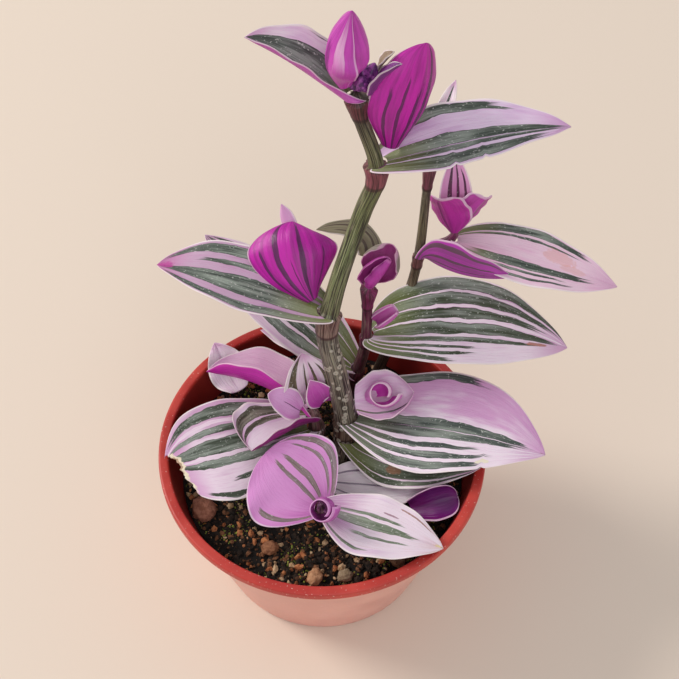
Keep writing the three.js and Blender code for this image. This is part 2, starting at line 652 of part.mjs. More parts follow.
function soilGeometry() {
  const floor = POT_WALL + 0.4 + GAP;
  const wallGap = 2 * GAP;
  const points = [
    [0, floor], [insideRadius(floor) - wallGap, floor], [insideRadius(SOIL_TOP) - wallGap, SOIL_TOP - 0.5],
    [36, SOIL_TOP], [25, SOIL_TOP], [12, SOIL_TOP + 0.5], [0, SOIL_TOP + 1],
  ].map(([radius, height]) => new THREE.Vector2(radius, height));
  const geometry = new THREE.LatheGeometry(points, ROUND_SEGMENTS);
  geometry.rotateX(Math.PI / 2);
  return geometry;
}

const group = new THREE.Group();
group.name = 'potted_tradescantia';

function addPiece(name, geometry, color, roughness) {
  const material = new THREE.MeshStandardMaterial({ color, roughness, metalness: 0 });
  const mesh = new THREE.Mesh(geometry, material);
  mesh.name = name;
  group.add(mesh);
}

addPiece('pot', potGeometry(), '#b84a3c', 0.5);
const grownStems = Object.values(STEMS).map((stem) => toSolid(stemGeometry(stem, GAP)));
const dimples = Object.values(PEBBLES).map((pebble) => toSolid(pebbleGeometry(pebble, GAP)));
addPiece('soil', cutAway(soilGeometry(), [...grownStems, ...dimples]), '#2c2620', 0.95);
for (const [name, pebble] of Object.entries(PEBBLES)) {
  addPiece(name, toGeometry(toSolid(pebbleGeometry(pebble))), pebble.color, 0.8);
}
for (const [name, stem] of Object.entries(STEMS)) {
  const parent = stem.parent ? [toSolid(stemGeometry(STEMS[stem.parent], GAP))] : [];
  addPiece(name, cutAway(stemGeometry(stem), parent), stem.color, 0.55);
}
for (const [name, entry] of Object.entries(LEAVES)) {
  const leaf = { ...LEAF, ...entry };
  const seats = leaf.seat.map((other) => toSolid(leafGeometry({ ...LEAF, ...LEAVES[other] }, GAP)));
  addPiece(name, cutAway(leafGeometry(leaf), [...grownStems, ...seats]), leaf.color, 0.4);
}

const topLeaves = ['leaf_top_left', 'bud_top', 'leaf_top_inner', 'tip_top_small', 'leaf_upper_erect'];
const grownTops = topLeaves.map((name) => toSolid(leafGeometry({ ...LEAF, ...LEAVES[name] }, GAP)));
const flowers = cutAway(flowerGeometry(FLOWER_BUDS), [...grownStems, ...grownTops]);
addPiece('flower_buds', flowers, '#4a1f52', 0.5);

export default group;
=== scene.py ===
"""Potted tradescantia: fine leaves, stems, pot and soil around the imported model.

The tables hold the plant's own measures in millimetres, the same as the solids have, and
every mesh is made in metres. Blades are thin sheets laid along a bent midrib, with ribs,
waves and worn margins. Their stripes run from base to tip in each blade's own coordinates.
"""

import math
from types import SimpleNamespace

import bmesh
import bpy
import numpy as np
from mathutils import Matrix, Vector, noise


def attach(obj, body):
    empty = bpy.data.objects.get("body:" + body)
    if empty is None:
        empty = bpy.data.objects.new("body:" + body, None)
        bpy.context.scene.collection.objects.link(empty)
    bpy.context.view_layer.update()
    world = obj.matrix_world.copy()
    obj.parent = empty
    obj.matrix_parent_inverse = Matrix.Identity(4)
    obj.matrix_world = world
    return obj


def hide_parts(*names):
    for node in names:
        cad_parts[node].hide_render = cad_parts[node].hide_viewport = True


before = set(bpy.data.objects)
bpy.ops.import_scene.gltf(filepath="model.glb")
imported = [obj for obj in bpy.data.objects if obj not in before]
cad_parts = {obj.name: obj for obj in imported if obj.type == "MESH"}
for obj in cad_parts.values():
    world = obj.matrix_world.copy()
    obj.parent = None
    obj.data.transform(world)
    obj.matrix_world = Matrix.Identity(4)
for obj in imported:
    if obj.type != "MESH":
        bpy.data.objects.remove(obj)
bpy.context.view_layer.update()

MM = 0.001
BODY = "root"
rng = np.random.default_rng(11)

# Pot and soil, in millimetres
POT_HEIGHT = 56
RIM_RADIUS = 50
RIM_LIP = 3
RIM_DROP = 3
FOOT_RADIUS = 34
SHOULDER_RADIUS = 47.4
POT_WALL = 1.1
DRAIN_HOLES = 5
DRAIN_RADIUS = 3.5
DRAIN_RING = 21
DRILL_SIDES = 32
DRILL_LENGTH = 6
SOIL_TOP = 44
POT_SEGMENTS = 180
POT_FLOOR = POT_WALL + 0.4
POT_SHOULDER = POT_HEIGHT - RIM_DROP
POT_SLOPE = (SHOULDER_RADIUS - FOOT_RADIUS) / POT_SHOULDER

# What every blade shares, in millimetres or as shares of its length. EDGE_WIDTH is that of the
# pale margin, and STRIPE_SCALE keeps the reach of the longest stripes inside a colour ramp.
EDGE_WIDTH = 0.42
STRIPE_SCALE = 0.75
GAP = 0.3
SOLID_THICKNESS = 0.7
BLADE_THICKNESS = 0.5
TIP_HALF_WIDTH = 0.15
CLASP_REACH = 5
BASE_SHARE = 0.13
TIP_ROUNDNESS = 0.85
SECTION_STEPS = 48
ROW_CROWDING = 0.05
COLUMN_CROWDING = 0.4
RIBS = 6.5
GROOVE_WIDTH = 1.1
MARGIN_POWER = 2.5
EDGE_THINNING = 0.55
TIP_THINNING = 0.4
RIM_BEAD = 0.09
UP = (0, 0, 1)


# Vectors, as arrays of [x, y, z] rows
def unit(v):
    v = np.asarray(v, float)
    return v / np.linalg.norm(v, axis=-1, keepdims=True)


def turn(vector, axis, degrees):
    angle = math.radians(degrees)
    vector, axis = np.asarray(vector, float), np.asarray(axis, float)
    along = (vector * axis).sum(-1, keepdims=True) * (1 - math.cos(angle))
    return vector * math.cos(angle) + np.cross(axis, vector) * math.sin(angle) + axis * along


def square_to(vector, direction):
    """The part of vector that is square to direction, one unit long."""
    along = (vector * direction).sum(-1, keepdims=True)
    return unit(vector - direction * along)


def smooth(low, high, x):
    s = np.clip((x - low) / (high - low), 0, 1)
    return s * s * (3 - 2 * s)


# Meshes
def mesh_object(name, points, faces, uv=None, side=None):
    """A smooth object from points in millimetres. uv and side hold one value for each point."""
    mesh = bpy.data.meshes.new(name)
    mesh.from_pydata((np.asarray(points) * MM).tolist(), [], faces)
    mesh.polygons.foreach_set("use_smooth", [True] * len(mesh.polygons))
    corners = np.zeros(len(mesh.loops), int)
    mesh.loops.foreach_get("vertex_index", corners)
    if uv is not None:
        layer = mesh.uv_layers.new(name="blade")
        layer.uv.foreach_set("vector", np.asarray(uv, np.float32)[corners].ravel())
    if side is not None:
        attribute = mesh.attributes.new("side", "FLOAT", "POINT")
        attribute.data.foreach_set("value", np.asarray(side, np.float32))
    mesh.update()
    made = bpy.data.objects.new(name, mesh)
    bpy.context.scene.collection.objects.link(made)
    return made


def joined_object(name, bodies, faces):
    """One object from bodies that each have the same faces."""
    every = [faces + k * len(body) for k, body in enumerate(bodies)]
    return mesh_object(name, np.vstack(bodies), np.vstack(every).tolist())


def ring_faces(rings, sides):
    """Faces between rings of points that follow each other in a list."""
    faces = []
    for row in range(rings - 1):
        for k in range(sides):
            a, b = row * sides + k, row * sides + (k + 1) % sides
            faces.append((a, b, b + sides, a + sides))
    return faces


def dress(made, material, slot, *nodes):
    """Gives a piece its material, and lets it ride and stand for its nodes. slot is not used."""
    made.data.materials.append(material)
    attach(made, BODY)
    if nodes:
        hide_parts(*nodes)


# Node materials
def color(code):
    """A linear colour from a six-digit code."""
    values = [int(code[i : i + 2], 16) / 255 for i in (1, 3, 5)]
    linear = [v / 12.92 if v <= 0.04045 else ((v + 0.055) / 1.055) ** 2.4 for v in values]
    return (*linear, 1.0)


class Look:
    """A material's nodes, with a short call for each kind that is used here."""

    def __init__(self, name, **values):
        self.material = bpy.data.materials.new(name)
        self.material.use_nodes = True
        self.nodes = self.material.node_tree.nodes
        self.links = self.material.node_tree.links
        self.shader = self.nodes["Principled BSDF"]
        self.set(**values)

    def put(self, value, socket):
        """Links an output to the socket, or sets it to a number or a colour code."""
        if isinstance(value, bpy.types.NodeSocket):
            self.links.new(value, socket)
        else:
            socket.default_value = color(value) if isinstance(value, str) else value

    def set(self, **values):
        for name, value in values.items():
            self.put(value, self.shader.inputs[name.replace("_", " ")])

    def node(self, kind, values, **settings):
        """A node with its settings, and with its inputs by name or in order."""
        made = self.nodes.new("ShaderNode" + kind)
        for name, setting in settings.items():
            setattr(made, name, setting)
        for key, value in values.items() if isinstance(values, dict) else enumerate(values):
            self.put(value, made.inputs[key])
        return made

    def math(self, operation, *values):
        return self.node("Math", values, operation=operation).outputs[0]

    def times(self, a, b):
        return self.math("MULTIPLY", a, b)

    def plus(self, a, b):
        return self.math("ADD", a, b)

    def minus(self, a, b):
        return self.math("SUBTRACT", a, b)

    def mix(self, factor, a, b, blend="MIX"):
        values = {"Factor": factor, "A": a, "B": b}
        made = self.node("Mix", values, data_type="RGBA", blend_type=blend)
        return next(o for o in made.outputs if o.type == "RGBA")

    def shaded(self, base, tint):
        return self.mix(1.0, base, tint, "MULTIPLY")

    def between(self, low, high, value, to_low=0.0, to_high=1.0, shape="SMOOTHSTEP"):
        """to_low below low, to_high above high, and a smooth step in between."""
        span = {"From Min": low, "From Max": high, "To Min": to_low, "To Max": to_high}
        made = self.node("MapRange", {"Value": value, **span}, interpolation_type=shape)
        return made.outputs[0]

    def wash(self, base, tint, *span):
        """base with tint over it, as strong as between says."""
        return self.mix(self.between(*span), base, tint)

    def ramp(self, factor, stops, interpolation="LINEAR"):
        made = self.node("ValToRGB", [factor])
        bar = made.color_ramp
        bar.interpolation = interpolation
        while len(bar.elements) < len(stops):
            bar.elements.new(1.0)
        for element, (place, value) in zip(bar.elements, stops):
            element.position = place
            element.color = color(value) if isinstance(value, str) else (value, value, value, 1)
        return made.outputs[0]

    def parts(self, vector):
        return self.node("SeparateXYZ", [vector]).outputs

    def vector(self, x, y, z):
        return self.node("CombineXYZ", [x, y, z]).outputs[0]

    def noise(self, vector, scale, detail, roughness):
        values = {"Vector": vector, "Scale": scale, "Detail": detail, "Roughness": roughness}
        return self.node("TexNoise", values).outputs[0]

    def cells(self, vector, scale):
        """Distance to the nearest of many scattered points."""
        return self.node("TexVoronoi", {"Vector": vector, "Scale": scale}).outputs["Distance"]

    def uv(self):
        return self.node("UVMap", [], uv_map="blade").outputs[0]

    def place(self):
        """The point in the part's own frame, in metres."""
        return self.node("TexCoord", []).outputs["Object"]

    def lower_side(self):
        """0 on a blade's upper side and 1 on its lower side."""
        return self.node("Attribute", [], attribute_name="side").outputs["Fac"]

    def bump(self, height, depth, strength):
        made = self.node("Bump", {"Height": height, "Distance": depth, "Strength": strength})
        self.links.new(made.outputs[0], self.shader.inputs["Normal"])


# Stems
# Points are [x, y, z, radius]; nodes are [height of the ring, height of the sheath, flare].
# bark and husk give colours by height, husk those of the sheaths, and blisters the span of
# heights with raised dots.
STEMS = {
    "stem_main": SimpleNamespace(
        points=[
            [3.5, -1, 30, 3.4], [5, 2, 44, 3.5], [7.2, 7.2, 56, 3.5], [5.8, 10.7, 68, 3.3],
            [3.7, 14, 79, 3.3], [1.6, 17.5, 91, 3.2], [4.2, 21.6, 105.5, 2.6],
            [12, 29, 132, 2.5], [15.2, 31.9, 140.5, 2.5], [14.8, 33.6, 147, 2.1],
            [10.4, 37.3, 160.5, 2], [9.6, 38.6, 167, 1.6],
        ],
        nodes=[[54, 4.5, 1.25], [91.5, 6, 1.35], [139.5, 5.5, 1.7], [159.5, 5.3, 2.0]],
        bark=[(44, "#5c4a3e"), (60, "#75685c"), (90, "#80786a"), (97, "#737250"),
              (120, "#6b754a"), (137, "#6a6c40"), (150, "#5f5c3a"), (165, "#4f3c30")],
        husk=[(50, "#6c5648"), (91, "#92796c"), (139, "#8a4550"), (160, "#6c3438")],
        blisters=(46, 92),
    ),
    "stem_back": SimpleNamespace(
        points=[
            [14, 34.5, 34, 1.8], [18.5, 37, 46, 1.8], [25, 40, 72, 1.7],
            [28.8, 42, 93, 1.5], [30.3, 44, 125, 1.25], [31, 45.5, 134, 1],
            [31.3, 46.8, 141, 0.8],
        ],
        nodes=[[92, 4, 1.3], [124.5, 7, 1.9]],
        bark=[(40, "#4a362e"), (90, "#6a5642"), (110, "#6f664a"), (124, "#5c5040"),
              (140, "#84694a")],
        husk=[(90, "#7c4a48"), (125, "#7c3a4c")],
    ),
    "stem_branch": SimpleNamespace(
        points=[[31.2, 42.6, 99, 1.2], [34, 42.4, 101, 1.3], [38, 42.2, 103.5, 1.4],
                [40, 42.8, 107, 1]],
        nodes=[],
        bark=[(98, "#7b3f5c"), (107, "#96306f")],
    ),
    "stem_middle": SimpleNamespace(
        points=[
            [8.5, 24.5, 33, 2], [9.5, 25, 46, 2], [10.6, 25.6, 57, 2],
            [13.2, 25.8, 73.5, 1.7], [13.6, 27, 92, 1.5], [14, 27, 101, 1.3],
        ],
        nodes=[[56, 4, 1.25], [73.5, 4, 1.35], [91, 8, 2]],
        bark=[(40, "#3c2028"), (72, "#5c2234"), (90, "#74204a"), (101, "#8c2468")],
        husk=[(56, "#5c2a34"), (74, "#6c2440"), (92, "#86285c")],
    ),
    "stem_left": SimpleNamespace(
        points=[[-2, 8, 33, 2.4], [-1.5, 9, 46, 2.4], [-2.2, 9.2, 56, 2.3], [-3, 9.5, 62, 1.5]],
        nodes=[[50, 3, 1.2]],
        bark=[(40, "#5a4438"), (62, "#8a5a60")],
        husk=[(50, "#7a4c50")],
    ),
    "stem_front": SimpleNamespace(
        points=[[0, -17, 33, 2.2], [0.5, -19, 46, 2.2], [0.6, -21, 55, 2.1],
                [0.1, -23, 60, 1.4]],
        nodes=[[50, 3, 1.2]],
        bark=[(40, "#5a4438"), (55, "#8a5a70"), (58, "#5c1450")],
        husk=[(50, "#7a4c50")],
    ),
}
STEM_SIDES = 36
STEM_STEP = 0.5
CURVE_STEPS = 60
RIDGES = 12
RIDGE_SHARE = 0.012
SWELL_SHARE = 0.015
SWELL_LENGTH = 5
RING_SWELL = 0.3
RING_REACH = 0.9
SHEATH_SLANT = 0.1
SHEATH_LOBES = 0.05
CAP_LENGTH = 1.2
CAP_LEAST = 0.05


def stem_line(stem):
    """Centripetal curve through a stem's points: rows of [x, y, z, radius]."""
    given = np.array(stem.points, float)
    points = given[:, :3]
    padded = np.vstack([2 * points[0] - points[1], points, 2 * points[-1] - points[-2]])
    t = np.linspace(0, 1, CURVE_STEPS)[:, None]
    line = []
    for k in range(len(points) - 1):
        p0, p1, p2, p3 = padded[k : k + 4]
        d0, d1, d2 = (np.linalg.norm(b - a) ** 0.5 for a, b in ((p0, p1), (p1, p2), (p2, p3)))
        start = ((p1 - p0) / d0 - (p2 - p0) / (d0 + d1) + (p2 - p1) / d1) * d1
        end = ((p2 - p1) / d1 - (p3 - p1) / (d1 + d2) + (p3 - p2) / d2) * d1
        curve = (
            p1 + start * t + (3 * (p2 - p1) - 2 * start - end) * t**2
            + (2 * (p1 - p2) + start + end) * t**3
        )
        radius = given[k, 3] + (given[k + 1, 3] - given[k, 3]) * t
        line.append(np.hstack([curve, radius]))
    return np.vstack(line)


def stem_at(stem, heights):
    """Centre, direction and radius of a stem at each height."""
    line = stem_line(stem)
    directions = unit(np.gradient(line[:, :3], axis=0))
    every = np.hstack([line[:, :3], directions, line[:, 3:]])
    found = np.stack([np.interp(heights, line[:, 2], values) for values in every.T], -1)
    return found[:, :3], unit(found[:, 3:6]), found[:, 6]


def make_stem(name, stem):
    low, high = stem.points[0][2], stem.points[-1][2]
    rows = int((high - low) / STEM_STEP)
    heights = np.linspace(low, high, rows + 1)
    centre, axis, radius = stem_at(stem, heights)
    sideways = unit(np.cross((0, 1, 0), axis))
    back = np.cross(axis, sideways)
    angle = np.linspace(0, 2 * math.pi, STEM_SIDES, endpoint=False)
    swell = SWELL_SHARE * np.sin(heights[:, None] / SWELL_LENGTH)
    reach = radius[:, None] * (1 + RIDGE_SHARE * np.cos(RIDGES * angle) + swell)
    for k, (ring, sheath, flare) in enumerate(stem.nodes):
        above = heights[:, None] - ring
        reach += RING_SWELL * np.exp(-((above / RING_REACH) ** 2))
        slant = SHEATH_SLANT * np.sin(angle + 2 * k + 1)
        top = sheath * (1 + slant + SHEATH_LOBES * np.sin(3 * angle + k))
        reach += radius[:, None] * (flare - 1) * np.clip(above / top, 0, 1) * (above < top)
    close = np.sqrt(np.clip((high - heights) / CAP_LENGTH, 0, 1))[:, None]
    reach *= np.maximum(close, CAP_LEAST)
    points = (
        centre[:, None]
        + sideways[:, None] * (reach * np.cos(angle))[..., None]
        + back[:, None] * (reach * np.sin(angle))[..., None]
    ).reshape(-1, 3)
    last = rows * STEM_SIDES
    faces = ring_faces(rows + 1, STEM_SIDES)
    faces.append(tuple(range(STEM_SIDES - 1, -1, -1)))
    faces.append(tuple(range(last, last + STEM_SIDES)))
    around = np.stack([np.cos(angle) + 1, np.sin(angle) + 1], -1) / 2
    made = mesh_object("fine_" + name, points, faces, np.tile(around, (rows + 1, 1)))
    dress(made, stem_look(name, stem, low, high), "stem", name)


def stem_look(name, stem, low, high):
    look = Look("bark_" + name, Roughness=0.45, Subsurface_Weight=0.08, Subsurface_Scale=0.001)
    where = look.place()
    z = look.parts(where)[2]
    share = look.between(low * MM, high * MM, z, shape="LINEAR")

    def by_height(given):
        return look.ramp(share, [((h - low) / (high - low), code) for h, code in given])

    turn_x, turn_y, _ = look.parts(look.uv())
    lines = look.noise(look.vector(turn_x, turn_y, look.times(z, 4.5)), 17, 3, 0.65)
    spots = look.noise(look.vector(turn_x, turn_y, look.times(z, 30)), 5, 3, 0.6)
    bark = by_height(stem.bark)
    bark = look.wash(bark, look.shaded(bark, "#5c4a44"), 0.45, 0.56, lines)
    bark = look.wash(bark, "#b4b090", 0.3, 0.42, lines, 0.45, 0)
    bark = look.wash(bark, "#b0a68c", 0.5, 0.8, spots, 0, 0.4)
    if stem.nodes:
        husk = by_height(stem.husk)
        husk = look.wash(husk, look.shaded(husk, "#7a5a5c"), 0.42, 0.6, lines)
    for ring, sheath, _ in stem.nodes:
        above = look.minus(z, ring * MM)
        low_edge = look.between(0.0, 0.6 * MM, above)
        high_edge = look.between(sheath * MM * 1.05, sheath * MM * 1.15, above, 1, 0)
        bark = look.mix(look.times(low_edge, high_edge), bark, husk)
        near = look.between(0.2 * MM, 0.9 * MM, look.math("ABSOLUTE", above), 0.8, 0)
        bark = look.mix(near, bark, look.shaded(husk, "#8a5058"))
    height = lines
    if hasattr(stem, "blisters"):
        start, stop = (h * MM for h in stem.blisters)
        apart = look.cells(where, 430)
        disc = look.between(0.3, 0.4, apart, 1, 0)
        dots = look.times(disc, look.between(0.1, 0.22, apart, 0.4, 1))
        dots = look.times(dots, look.between(start, start + 4 * MM, z))
        dots = look.times(dots, look.between(stop - 6 * MM, stop, z, 1, 0))
        bark = look.mix(look.times(dots, 0.65), bark, "#c9bfae")
        height = look.plus(lines, dots)
    look.set(Base_Color=bark)
    look.bump(height, 0.2 * MM, 0.6)
    return look.material


# Leaves and buds
# A blade goes from its stem at height, or from base, to its tip, and face is where its upper side
# looks. lift, drop and sway turn the two ends of the midrib, arch is the length of their curves,
# and bank turns the blade round the midrib. cup bends it across in degrees, cup_base does at the
# foot, crease gathers the bend at the midrib and skew on one side. belly is the widest place,
# point and round the curve towards the tip, neck the foot, spread the curve in between and blunt
# the width of the tip. Two values are those of the two sides, and lean widens one. wrap, clasp
# and lobe are the foot's reach round the stem and its swept back side. tear is the torn share.
# wave, waves, rib, groove and nicks are the finer relief, nicks as (side, place along, depth,
# spread). green, pale and frost list stripes as (place across from -1 to 1, half-width, end,
# start), with the end and the start as shares of the length, and frost is a painted sheen on the
# lower side. light gives way to pink by patches, and blush moves them to one side. foot, heart and
# tip_pink tint the two ends. outer is the lower side, edge the margin of the width rim, and
# speckle the pale dots on the green, which are painted glints. marks are worn spots: (place
# across, place along, half-width and half-length in millimetres, colour, strength).
# grid is the number of rows and columns of the mesh, and small blades have a coarser one.
LEAF = dict(
    stem="", grid=(70, 44), face=UP, lift=15, drop=15, sway=0, arch=0.36, bank=0, cup=30,
    cup_base=90, crease=1, skew=0, belly=0.4, point=2, neck=0.5, spread=1, blunt=0,
    round=TIP_ROUNDNESS, lean=0, wrap=200, clasp=1, lobe=0, tear=0, wave=0.35, waves=3.0, rib=0.07,
    groove=0.3, nicks=(), green=(), pale=(), frost=(), pink="#d2a2c8", light="#ecdae4",
    tip_pink="#cb88bc", leafy="#8f978d", deep="#3a443b", foot="#7d803c", outer="#b8149c",
    outer_dark="#560f4e", edge="#f0e4e2", speckle=0.7, marks=(), heart="", rim=EDGE_WIDTH, blush=0,
    slot="leaf_green",
)
SMALL = dict(grid=(30, 20), wave=0.12, rib=0.04, groove=0.12)

